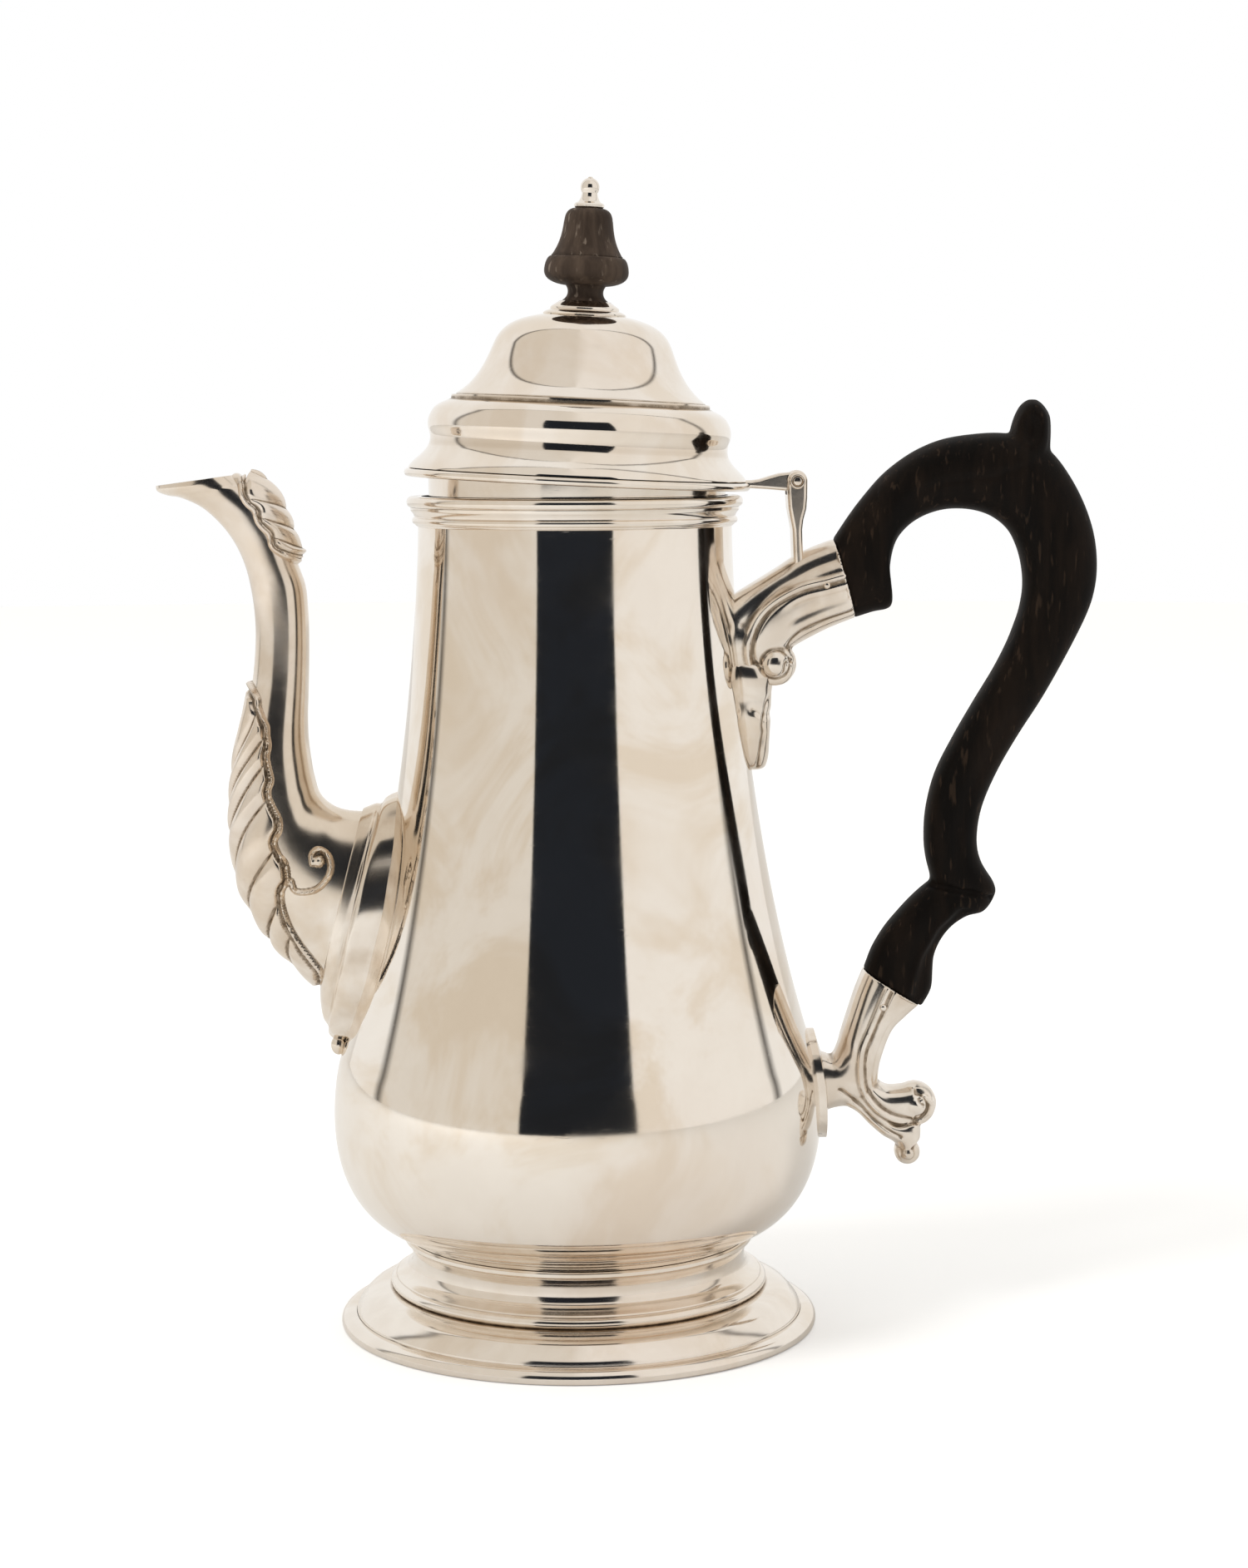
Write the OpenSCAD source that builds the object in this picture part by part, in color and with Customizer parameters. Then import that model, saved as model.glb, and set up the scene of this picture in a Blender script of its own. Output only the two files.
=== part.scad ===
// Footed coffee pot: a raised pear-shaped body on a spun foot, a cast spout with
// shell ornament, a domed lid on a pin hinge and a carved wooden handle held in
// two cast sockets. The pot's axis is Z, the handle is at +X and the spout at -X.
// The origin is the centre of the plane that the foot rests on.

/* [Foot] */
// Radius of the moulding that the pot rests on
foot_r = 53; // [49:0.5:56]
// Height of the foot, from the table to the body joint
foot_h = 20.6; // [19:0.2:26]
// Height of the base moulding
foot_wire_h = 3.2; // [2.6:0.1:4]
// Radial width of the base moulding
foot_wire_w = 3.4; // [2.6:0.1:4]
// Radius of the narrow neck of the foot
foot_neck_r = 37; // [35:0.5:38.5]
// Sheet thickness of the foot
foot_wall = 0.9; // [0.8:0.1:1.8]

/* [Body] */
// Height of the body above the foot
body_h = 163.4; // [155:0.5:172]
// Radius of the belly
belly_r = 54.1; // [51:0.1:57]
// Height of the belly's widest line above the foot
belly_up = 26.9; // [24:0.1:30]
// Radius of the neck
neck_r = 34.3; // [32:0.1:36.5]
// Radius where the body stands on the foot
seat_r = 39.2; // [38:0.1:42]
// Sheet thickness of the body
body_wall = 0.8; // [0.7:0.1:1.6]
// Height of the soldered band between body and foot
band_h = 2.4; // [1.6:0.1:3]

/* [Mouth] */
// How far the mouth moulding stands out from the neck
mouth_wire_t = 2.4; // [1.8:0.1:3]
// Height of the mouth moulding
mouth_wire_h = 2.4; // [1.8:0.1:3.2]
// How far the beaded neck moulding stands out
neck_wire_t = 1.6; // [1:0.1:2.2]
// Height of the beaded neck moulding
neck_wire_h = 4.2; // [3:0.1:5]

/* [Spout] */
// Distance from the pot's axis to the spout's tip
spout_reach = 91.3; // [86:0.5:96]
// Height of the spout's tip above the mouth
spout_tip_up = 2; // [0:0.5:5]
// Height of the spout's root above the foot
spout_root_up = 76; // [72:0.5:80]
// Half the spout's width at its root
spout_half_w = 9.8; // [8.5:0.1:11]
// Wall thickness of the spout casting
spout_wall = 1.1; // [0.8:0.1:1.5]
// Thickness of the applied shell on the spout
shell_t = 1.1; // [0.7:0.1:1.5]
// Thickness of the applied leaf behind the spout's tip
leaf_t = 2.2; // [1.4:0.1:2.6]
// How far the root collar stands out from the spout
collar_t = 1.4; // [0.8:0.1:2]
// Radius of the rolled end of the leaf at the spout's lip
leaf_roll_r = 2.4; // [1.8:0.1:2.8]
// Radius of the strainer holes
strainer_hole_r = 1.3; // [0.8:0.1:1.6]
// Spacing of the strainer holes
strainer_pitch = 5; // [4.2:0.1:5.6]
// Radius of the bead below the spout
pendant_r = 2; // [1.5:0.1:2.5]

/* [Sockets] */
// Depth of the upper socket's mouth below the body's mouth
upper_drop = 18.3; // [16:0.1:21]
// Distance from the body to the centre of the upper socket's mouth
upper_reach = 24.2; // [22:0.1:27]
// Height of the lower socket's mouth above the foot
lower_up = 54.5; // [51:0.1:58]
// Distance from the body to the centre of the lower socket's mouth
lower_reach = 21.6; // [20:0.1:24]
// Half the width of both sockets
socket_half_w = 7.6; // [6.8:0.1:8.6]
// Thickness of the plate behind the lower socket
plate_t = 1.6; // [1:0.1:2.2]
// Half the width of the plate behind the lower socket
plate_half_w = 9; // [8.2:0.1:11]
// Height of the plate behind the lower socket
plate_h = 24.5; // [22:0.5:27]
// Thickness of the leaf below the upper socket
drop_t = 4.3; // [3.5:0.1:6]

/* [Handle] */
// Half the thickness of the handle across the pot
handle_half_w = 6.8; // [5.8:0.1:7.4]
// Width of the wooden tenons
tenon_w = 7.6; // [6:0.1:8.6]
// Length of the upper tenon
upper_tenon_l = 9; // [7:0.5:11]
// Height of the upper tenon
upper_tenon_h = 10; // [8:0.5:11]
// Length of the lower tenon
lower_tenon_l = 8; // [6.5:0.5:9]
// Height of the lower tenon
lower_tenon_h = 7; // [6:0.5:8]
// Radius of the pins through the tenons
tenon_pin_r = 0.8; // [0.6:0.1:1.1]
// Distance of the pins from the sockets' mouths
tenon_pin_in = 4.4; // [3.5:0.1:5.4]

/* [Lid hinge] */
// Distance of the hinge pin from the lid's rim
pin_out = 10.6; // [10:0.1:13]
// Height of the hinge pin above the body's mouth
pin_up = 3; // [2.7:0.1:4.2]
// Radius of the hinge pin
pin_r = 1; // [0.8:0.1:1.2]
// Running clearance of the lid's knuckle on the pin
pin_clear = 0.05; // [0.02:0.01:0.08]
// Radius of the hinge knuckles
knuckle_r = 2.2; // [1.9:0.1:2.6]
// Width of the lid's knuckle along the pin
knuckle_w = 4.8; // [4:0.1:6]
// Width of the hinge post along the pin
post_w = 10; // [9:0.1:12]
// Thickness of the hinge post's blade
blade_t = 2.1; // [1.6:0.1:2.8]
// Side gap between the lid's knuckle and the fork
fork_gap = 0.35; // [0.2:0.05:0.5]
// Angle at which the lid stands ajar
lid_ajar = 2.8; // [0:0.1:6]

/* [Lid] */
// How far the lid's rim reaches past the neck
lid_over = 3.5; // [3:0.1:4.2]
// How far the lid sits off the pot's axis, towards the hinge
lid_off = 0.6; // [0:0.1:0.8]
// Gap between the mouth and the closed lid
lid_gap = 0.3; // [0.2:0.05:0.6]
// Height of the lid's rim moulding
rim_h = 1.9; // [1.4:0.1:2.4]
// Height of the lid from its rim to the finial's seat
lid_h = 36.3; // [34:0.1:40]
// Sheet thickness of the lid
lid_wall = 0.8; // [0.7:0.1:1.4]
// Depth of the bezel inside the neck
bezel_h = 5; // [4:0.5:6]
// Gap between the bezel and the neck
bezel_gap = 1; // [0.9:0.05:1.4]
// Thickness of the bezel
bezel_t = 1; // [0.7:0.1:1.4]

/* [Finial] */
// Height of the silver seat under the finial
seat_h = 3; // [2:0.1:4]
// Height of the wooden finial
finial_h = 20; // [17:0.5:23]
// Greatest radius of the wooden finial
finial_r = 9.2; // [8:0.1:10]
// Height of the finial's silver cap
cap_h = 6.8; // [6.2:0.1:9]
// Radius of the bolt through the finial
bolt_r = 1.3; // [1:0.1:1.6]
// Depth of the bolt in the cap
bolt_in = 4; // [3:0.5:5]
// Radius of the washer under the lid's crown
washer_r = 4.2; // [3.6:0.1:5]
// Thickness of the washer under the lid's crown
washer_t = 0.8; // [0.5:0.1:1.2]
// Distance across the corners of the nut
nut_d = 6; // [5:0.1:7]
// Height of the nut
nut_h = 2.4; // [2:0.1:3]

/* [Hidden] */
silver = [0.80, 0.77, 0.71];
dark_wood = [0.16, 0.11, 0.09];
worn_wood = [0.34, 0.26, 0.20];
far = 200;              // larger than the pot, for cutting shapes
sweep_sides = 24;       // points around a swept section
$fn = 128;

// heights and radii of the body
mouth_z = foot_h + body_h;
belly_z = foot_h + belly_up;
shoulder = [belly_r - 1.9, belly_z + 14];   // where the belly turns into the long waist
waist_lean = 0.32;                          // outward lean of the waist at the shoulder
seat_step = 0.9;                            // the body's lowest edge above the foot
mouth_in_r = neck_r - body_wall;

// ---------- curves ----------
function bezier(a, b, c, d, n) = [for (i = [0:n]) let (t = i / n, s = 1 - t)
    s*s*s * a + 3*s*s*t * b + 3*s*t*t * c + t*t*t * d];
function arc(c, r, from, to, n) = [for (i = [0:n]) let (a = from + (to - from) * i / n)
    [c.x + r * cos(a), c.y + r * sin(a)]];
function blend(a, b, c, d, t) = 0.5 * (2*b + (c - a)*t + (2*a - 5*b + 4*c - d)*t*t
    + (3*b - a - 3*c + d)*t*t*t);
function spline(p, steps) = [
    for (i = [0:len(p) - 2]) for (k = [0:steps - 1])
        blend(p[max(i - 1, 0)], p[i], p[i + 1], p[min(i + 2, len(p) - 1)], k / steps),
    p[len(p) - 1]];
function unit(v) = v / norm(v);
// moves each point of an outline sideways by t, to the left of the way it runs
function shifted(p, t) = [for (i = [0:len(p) - 1])
    let (a = p[max(i - 1, 0)], b = p[min(i + 1, len(p) - 1)], u = unit(b - a))
    [max(0, p[i].x - t * u.y), p[i].y + t * u.x]];
function reversed(p) = [for (i = [len(p) - 1:-1:0]) p[i]];

// ---------- sections swept along a row of stations ----------
// A station is [outer x, outer z, inner x, inner z, half width across the pot].
function power(v, e) = sign(v) * pow(abs(v), e);
function section_point(s, a, e, egg) = let (c = power(cos(a), e), w = power(sin(a), e))
    [(s[0] + s[2])/2 + c*(s[0] - s[2])/2, s[4]*w*(1 - egg*c), (s[1] + s[3])/2 + c*(s[1] - s[3])/2];
function section(s, e = 0.85, egg = 0) =
    [for (j = [0:sweep_sides - 1]) section_point(s, 360*j/sweep_sides, e, egg)];
function grown(s, t) = let (u = unit([s[0] - s[2], s[1] - s[3]]))
    [s[0] + t*u.x, s[1] + t*u.y, s[2] - t*u.x, s[3] - t*u.y, s[4] + t];
function side_faces(m, n, turns) = [for (k = [0:turns - 1]) for (j = [0:n - 1])
    let (a = k*n + j, b = k*n + (j + 1)%n, c = ((k + 1)%m)*n + (j + 1)%n, d = ((k + 1)%m)*n + j)
    each [[a, b, c], [a, c, d]]];
module skin(rings) {
    n = len(rings[0]);
    m = len(rings);
    polyhedron([for (r = rings) each r], concat(side_faces(m, n, m - 1),
        [[for (j = [0:n - 1]) n - 1 - j]], [[for (j = [0:n - 1]) (m - 1)*n + j]]), 8);
}
module tube_skin(outer, inner) {
    rings = concat(outer, reversed(inner));
    n = len(rings[0]);
    polyhedron([for (r = rings) each r], side_faces(len(rings), n, len(rings)), 8);
}

// ---------- body of revolution ----------
body_line = concat(
    [[neck_r, mouth_z]],
    bezier([neck_r, mouth_z - 7], [neck_r, mouth_z - 12.4],
           shoulder + 51 * [-waist_lean, 1], shoulder, 26),
    bezier(shoulder, shoulder + 2 * [waist_lean, -1],
           [belly_r, belly_z + 7.4], [belly_r, belly_z], 10),
    bezier([belly_r, belly_z], [belly_r, belly_z - 18.3],
           [seat_r + 5.6, foot_h + seat_step + 1.6], [seat_r, foot_h + seat_step], 22));
body_outline = [for (i = [0:len(body_line) - 1]) if (i == 0 || body_line[i] != body_line[i - 1]) body_line[i]];
under_r = seat_r - 4;         // where the rounded bottom starts to dip into the foot
under_line = bezier([seat_r, foot_h + seat_step], [seat_r - 1.6, foot_h + seat_step - 0.5],
                    [under_r, foot_h - 0.6], [0, foot_h - 1.2], 10);
closed_outline = concat(body_outline, [for (i = [1:len(under_line) - 1]) under_line[i]]);
// outer radius of the body at a height
radius_at_z = [for (p = reversed(body_outline)) [p.y, p.x]];
function body_r(z) = lookup(z, radius_at_z);

module body_solid() {
    rotate_extrude() polygon(concat(closed_outline, [[0, mouth_z]]));
}
// the body's outer shape grown by t between two heights
module body_jacket(t, z0, z1) {
    line = [for (p = body_outline) if (p.y > z0 - 6 && p.y < z1 + 6) p];
    rotate_extrude() polygon(concat([[0, line[0].y]], shifted(line, t), [[0, line[len(line) - 1].y]]));
}

module strainer_holes() {
    root_z = foot_h + spout_root_up;
    for (row = [-3:3]) for (col = [-1:1])
        if (row % 2 == 0 || col != 1)
            translate([-body_r(root_z), (col + (row % 2 == 0 ? 0 : 0.5)) * strainer_pitch,
                       root_z + row * strainer_pitch * 0.9])
                rotate([0, 90, 0]) cylinder(r = strainer_hole_r, h = 24, center = true, $fn = 24);
}

module body() {
    color(silver) difference() {
        rotate_extrude() polygon(concat(closed_outline, reversed(shifted(closed_outline, -body_wall))));
        strainer_holes();
    }
}

// moulding wires around the mouth
module mouth_wire() {
    top = mouth_z;
    bulge = arc([neck_r + mouth_wire_t - mouth_wire_h/2, top - mouth_wire_h/2],
                mouth_wire_h/2, 90, -90, 12);
    color(silver) rotate_extrude() polygon(concat([[neck_r, top]], bulge, [[neck_r, top - mouth_wire_h]]));
}

module neck_moulding() {
    top = mouth_z - mouth_wire_h;
    bead = neck_wire_h * 0.2;
    line = concat(
        [[neck_r, top], [neck_r + neck_wire_t, top]],
        bezier([neck_r + neck_wire_t, top - 0.3], [neck_r + neck_wire_t*0.5, top - neck_wire_h*0.2],
               [neck_r + neck_wire_t*0.5, top - neck_wire_h*0.45],
               [neck_r + neck_wire_t*0.6, top - neck_wire_h*0.5], 8),
        arc([neck_r + neck_wire_t*0.75 - bead, top - neck_wire_h*0.5 - bead], bead, 60, -80, 8),
        [[neck_r + 0.25, top - neck_wire_h], [neck_r, top - neck_wire_h]]);
    color(silver) rotate_extrude() polygon(line);
}

// ---------- foot ----------
// band soldered into the corner between body and foot
module foot_band() {
    color(silver) difference() {
        rotate_extrude() polygon([[under_r, foot_h], [seat_r - 0.8, foot_h],
            [seat_r - 0.3, foot_h + 0.5], [seat_r + 0.5, foot_h + band_h], [under_r, foot_h + band_h]]);
        body_solid();
    }
}

flange_r = seat_r - 0.4;                    // top ring of the foot
wire_in_r = foot_r - foot_wire_w;           // where the spun sheet meets the base moulding
bead_z = 9.9;                               // height of the ring bead on the foot
bead_r = 41.7;                              // radius of the ring bead
foot_line = concat(
    [[wire_in_r, 0], [wire_in_r, foot_wire_h + 0.6]],
    bezier([wire_in_r - 0.1, foot_wire_h + 0.8], [wire_in_r - 1.2, foot_wire_h + 3.4],
           [bead_r + 5, bead_z - 2.2], [bead_r + 0.5, bead_z - 1.2], 10),
    arc([bead_r - 1.1, bead_z + 0.3], 1.3, -30, 80, 8),
    bezier([bead_r - 2, bead_z + 2], [foot_neck_r + 1, bead_z + 2.2],
           [foot_neck_r, foot_h - 7], [foot_neck_r, foot_h - 5.4], 8),
    bezier([foot_neck_r + 0.1, foot_h - 5], [foot_neck_r + 0.6, foot_h - 3.6],
           [flange_r - 0.6, foot_h - 2.4], [flange_r, foot_h - 1.2], 6),
    [[flange_r, foot_h - 0.5], [flange_r - 0.5, foot_h]]);

module foot() {
    ring_in_r = foot_neck_r - foot_wall;
    inner = [for (p = shifted(foot_line, foot_wall)) if (p.y < foot_h - 3) [p.x, max(0, p.y)]];
    color(silver) difference() {
        rotate_extrude() polygon(concat(foot_line, [[ring_in_r, foot_h], [ring_in_r, foot_h - 3]],
                                        reversed(inner)));
        body_solid();
    }
}

// half-round moulding that the pot stands on
module foot_wire() {
    line = concat([[wire_in_r, 0], [foot_r - 0.5, 0], [foot_r, 0.6]],
        bezier([foot_r, 1], [foot_r - 0.2, foot_wire_h - 0.9],
               [foot_r - 1.2, foot_wire_h], [foot_r - 2.2, foot_wire_h], 8),
        [[wire_in_r, foot_wire_h]]);
    color(silver) rotate_extrude() polygon(line);
}

// ---------- spout ----------
// Stations from the root to the tip. Those near an end move with what that end joins,
// and those between are shared out, so the spout stretches with its reach and rise.
root = [-body_r(foot_h + spout_root_up), foot_h + spout_root_up];
tip = [-spout_reach, mouth_z + spout_tip_up];
drawn_root = [-43.4, 96.6];
drawn_tip = [-91.3, 186];
function on_span(p, a, b, da, db) =
    let (t = (p.y - da.y) / (db.y - da.y), share = max(0, min(1, (t - 0.15) / 0.7)))
    p + (a - da) * (1 - share) + (b - db) * share;
function span_station(s, a, b, da, db, w) =
    let (o = on_span([s[0], s[1]], a, b, da, db), i = on_span([s[2], s[3]], a, b, da, db))
    [o.x, o.y, i.x, i.y, s[4] * w];
// the last number is the half width, as a share of the root's
spout_rows = [
    [-42, 70.4, -33, 117, 1], [-49, 72.4, -41, 115.6, 1], [-56.1, 76, -47, 114.8, 1],
    [-63.7, 82.9, -52.5, 115.6, 0.98], [-69.7, 90.7, -56.2, 118.4, 0.96], [-73.6, 98.6, -57.6, 122.5, 0.93],
    [-75, 106.5, -58.3, 126.5, 0.89], [-75.3, 115, -58.8, 131, 0.84], [-74.5, 124.5, -58.9, 136, 0.78],
    [-72.8, 134, -58.7, 141, 0.71], [-71, 143, -58.5, 147, 0.65], [-70.1, 152, -58.4, 153, 0.62],
    [-70.2, 158.5, -58.5, 159, 0.61], [-71, 164.5, -59, 164.5, 0.61], [-72.2, 169.3, -60.5, 169, 0.62],
    [-74.2, 173.8, -62, 173.4, 0.63], [-77.2, 178, -63.9, 177.8, 0.65], [-81.3, 181.7, -66.4, 182.5, 0.67],
    [-85.8, 183.8, -69.6, 186.2, 0.67], [-88.6, 184.3, -71.6, 187, 0.67],
    [-90.9, 185.2, -73.3, 188, 0.66], [-91.3, 186.4, -74.4, 188.7, 0.64]];
spout_line = spline([for (s = spout_rows)
    span_station(s, root, tip, drawn_root, drawn_tip, spout_half_w)], 2);
spout_last = len(spout_line) - 1;
function beak(k) = 0.3 * pow(max(0, k / spout_last - 0.75) / 0.25, 1.5);
spout_outer = [for (k = [0:spout_last]) section(spout_line[k], 0.92, beak(k))];
spout_inner = [for (k = [0:spout_last]) section(grown(spout_line[k], -spout_wall), 0.92, beak(k))];

module spout_solid() {
    skin(spout_outer);
}

module spout() {
    color(silver) difference() {
        tube_skin(spout_outer, spout_inner);
        body_solid();
    }
}

// collar that spreads the spout's root over the body
drawn_collar_t = 1.1;       // thickness at which the collar's stations are drawn
collar_rows = [[-41, 63, -33, 120.5, 1.1], [-53, 64, -40, 118.5, 1.08],
    [-55.6, 66.8, -43, 116.8, 1.05], [-56.7, 71, -45.2, 116, 1.02], [-57, 75, -47, 115.4, 1]];
pendant_z = foot_h + spout_root_up - 33.8;
collar_foot_z = pendant_z + pendant_r*0.8;
module spout_collar() {
    color(silver) difference() {
        skin([for (s = spline([for (s = collar_rows)
            grown(span_station(s, root, tip, drawn_root, drawn_tip, spout_half_w), collar_t - drawn_collar_t)], 2))
            section(s, 0.9)]);
        body_solid();
        spout_solid();
        translate([-far/2, -far/2, collar_foot_z - far]) cube(far);
    }
}

// Leaf and shell ornaments are fluted coats over the spout, cut to their outline as
// seen from the side.
function coat(k, t, fall) = [for (j = [0:sweep_sides - 1]) let (a = 360*j/sweep_sides,
    flute = t * (0.8 + 0.2*cos(4*a)) * (1 - fall + fall*pow(0.5 - 0.5*cos(a), 1.5)))
    section_point(grown(spout_line[k], flute), a, 0.92, beak(k))];
function on_spout(p) = [for (q = p) on_span(q, root, tip, drawn_root, drawn_tip)];
module side_cut(p) {
    rotate([90, 0, 0]) linear_extrude(far, center = true) polygon(on_spout(p));
}

// the shell's scalloped edge, from its tip down to the collar
shell_edge = [[-71.1, 144.3], [-68, 139.8], [-68.3, 136.3], [-66.4, 133.5], [-66.1, 130], [-67, 127.1],
    [-65.9, 123.7], [-66.8, 119.1], [-64.8, 115.6], [-63.9, 112.7], [-66.3, 107.5], [-65.1, 98.8],
    [-63, 92.4], [-60.1, 86.6], [-56.2, 82], [-57.6, 75.5]];
module spout_shell() {
    first = 4;
    last = 21;
    color(silver) difference() {
        intersection() {
            skin([for (k = [first:last]) coat(k, shell_t * (k > last - 3 ? 1.6 : 1), 0)]);
            side_cut(concat([[-110, 75.5], [-110, 144.3]], shell_edge));
        }
        spout_solid();
    }
}

// the leaf's scalloped edge, from the lip down to its curled end
leaf_edge = [[-74.8, 190.4], [-73, 186.7], [-72.2, 183.6], [-71.2, 181.3], [-69.7, 180.1], [-69.2, 177.8],
    [-67.2, 175.8], [-66.5, 173], [-63.9, 170.9], [-61.4, 169.2]];
module spout_leaf() {
    first = spout_last - 15;
    lip = spout_line[spout_last];
    color(silver) difference() {
        union() {
            intersection() {
                skin([for (k = [first:spout_last])
                    let (along = (k - first) / (spout_last - first), curl = k < first + 3 ? 0.3 : 0)
                    coat(k, leaf_t * (0.5 + 0.5*along + 0.7*pow(along, 3) + curl), 0.7)]);
                side_cut(concat(leaf_edge, [[-50, 169.2], [-50, 200], [-74.8, 200]]));
            }
            translate([lip[2] - 1.1, 0, lip[3] + 0.9]) rotate([90, 0, 0])
                cylinder(r = leaf_roll_r, h = lip[4], center = true, $fn = 48);
        }
        spout_solid();
    }
}

module spout_pendant() {
    color(silver) difference() {
        translate([-body_r(pendant_z) - 1, 0, pendant_z]) sphere(pendant_r, $fn = 48);
        body_solid();
        translate([-far/2, -far/2, collar_foot_z]) cube(far);
    }
}

// ---------- sockets ----------
upper_z = mouth_z - upper_drop;
lower_z = foot_h + lower_up;
upper_mouth = [body_r(upper_z) + upper_reach, upper_z];
lower_mouth = [body_r(lower_z) + lower_reach, lower_z];
upper_lean = 15.6;        // rise of the upper tenon, in degrees
lower_lean = 57.1;        // rise of the lower tenon, in degrees
// stations in [out, up] steps from a socket's mouth
function from_mouth(rows, m, w) = [for (s = rows)
    [s[0] + m.x, s[1] + m.y, s[2] + m.x, s[3] + m.y, s[4] * w]];
upper_rows = [[-29, -8, -29, -23.5, 0.95], [-24.4, -3.6, -22, -21.5, 0.97], [-18.9, -0.1, -14.5, -17.2, 1],
    [-14.7, 2.5, -10.9, -14.8, 1], [-10.9, 5, -7.3, -12.8, 1], [-6.9, 6.9, -3, -10.7, 1],
    [-2.4, 8.6, 2.4, -8.6, 1]];
volute_r = 4.8;
volute_at = upper_mouth + [-15.4, -18.5];
lower_rows = [[-22, -13.5, -22, -31, 0.8], [-15.4, -14.9, -13.6, -27.5, 0.8],
    [-13.2, -15.5, -8.3, -26.4, 0.84], [-11.9, -13, -3.5, -23.7, 0.87], [-11.1, -10.2, -2.5, -17.2, 0.9],
    [-9.7, -5.7, 0, -10.1, 0.92], [-8, -0.5, 3.1, -6.7, 0.93], [-6.17, 3.99, 6.17, -3.99, 0.93]];
tail_rows = [[-10.8, -22, -11.2, -26.2, 0.68], [-6.3, -24, -7.7, -28.1, 0.68],
    [-2.3, -27.2, -4.8, -31, 0.66], [1, -30.6, -1.9, -33.5, 0.63], [6.2, -30.6, 0.9, -35.3, 0.6],
    [6.7, -34, 2.3, -37.6, 0.58]];
curl_rows = [[-8, -16, -8, -28, 0.7], [-2, -21.8, -3.6, -30, 0.7], [1.6, -22.4, 0.4, -31, 0.66],
    [5, -21.7, 5, -31, 0.62]];
ball_r = 4.4;
ball_at = lower_mouth + [5.4, -26.2];
curl_r = 2.85;
curl_at = lower_mouth + [3.8, -37.4];

tenon_root = 1.5;         // how far the tenons run back into the handle's own shape
module tenon(m, lean, l, w, h) {
    translate([m.x, 0, m.y]) rotate([0, -lean, 0]) translate([-l, -w/2, -h/2]) cube([l + tenon_root, w, h]);
}
module tenon_pin(m, lean, h) {
    translate([m.x, 0, m.y]) rotate([0, -lean, 0]) translate([-tenon_pin_in, 0, 0])
        rotate([90, 0, 0]) cylinder(r = tenon_pin_r, h = h, center = true, $fn = 48);
}
module upper_tenon() {
    tenon(upper_mouth, upper_lean, upper_tenon_l, tenon_w, upper_tenon_h);
}
module lower_tenon() {
    tenon(lower_mouth, lower_lean, lower_tenon_l, tenon_w, lower_tenon_h);
}
pin_l = 2 * socket_half_w + 0.4;
// a scroll's eye seen from both sides: a disc with a smaller boss on each face
module volute(at, r, w, boss_r) {
    translate([at.x, 0, at.y]) rotate([90, 0, 0]) {
        cylinder(r = r, h = w, center = true, $fn = 64);
        for (side = [-1, 1]) translate([0, 0, side * w/2]) sphere(boss_r, $fn = 48);
    }
}

module upper_casting() {
    skin([for (s = spline(from_mouth(upper_rows, upper_mouth, socket_half_w), 2)) section(s, 0.75)]);
    volute(volute_at, volute_r, 2*socket_half_w - 2.4, 2.9);
}

module upper_socket() {
    color(silver) difference() {
        upper_casting();
        body_solid();
        upper_tenon();
        tenon_pin(upper_mouth, upper_lean, pin_l + 2);
    }
}

// leaf that runs down the body below the upper socket
drop_rows = [[1.4, 0.4, 0.9], [1.2, -3.6, 0.88], [1.02, -9.2, 0.83], [0.84, -13.6, 0.76],
    [0.68, -17.4, 0.63], [0.44, -20, 0.4], [0.12, -20.8, 0.16]];
module socket_drop() {
    top = volute_at.y - 2.8;
    color(silver) difference() {
        skin([for (s = spline([for (d = drop_rows) let (z = top + d[1])
            [body_r(z) + drop_t*d[0] + 1.2, z, body_r(z) - 4, z, socket_half_w*d[2]]], 3))
            section(s, 0.8)]);
        body_solid();
        upper_casting();
    }
}

module upper_pin() {
    color(silver) tenon_pin(upper_mouth, upper_lean, pin_l);
}

module lower_casting() {
    for (rows = [lower_rows, tail_rows, curl_rows])
        skin([for (s = spline(from_mouth(rows, lower_mouth, socket_half_w), 2)) section(s, 0.75)]);
    volute(ball_at, ball_r, socket_half_w, 2.6);
    volute(curl_at, curl_r, socket_half_w, 1.2);
}

plate_drop = 21.8;        // the plate's middle below the lower socket's mouth
tail_drop = 40;           // the lower socket's lowest point below its mouth
module plate_blank() {
    mid_z = lower_z - plate_drop;
    intersection() {
        body_jacket(plate_t, mid_z - plate_h/2, mid_z + plate_h/2);
        translate([0, 0, mid_z]) rotate([90, 0, 90]) linear_extrude(far) union() {
            square([2*plate_half_w, plate_h - 2*plate_half_w], center = true);
            for (side = [-1, 1]) translate([0, side * (plate_h/2 - plate_half_w)]) circle(plate_half_w);
        }
    }
}

module lower_plate() {
    color(silver) difference() {
        plate_blank();
        body_solid();
    }
}

module lower_socket() {
    color(silver) difference() {
        lower_casting();
        body_jacket(plate_t, lower_z - tail_drop, lower_z);
        lower_tenon();
        tenon_pin(lower_mouth, lower_lean, pin_l + 2);
    }
}

module lower_pin() {
    color(silver) tenon_pin(lower_mouth, lower_lean, pin_l);
}

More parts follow.
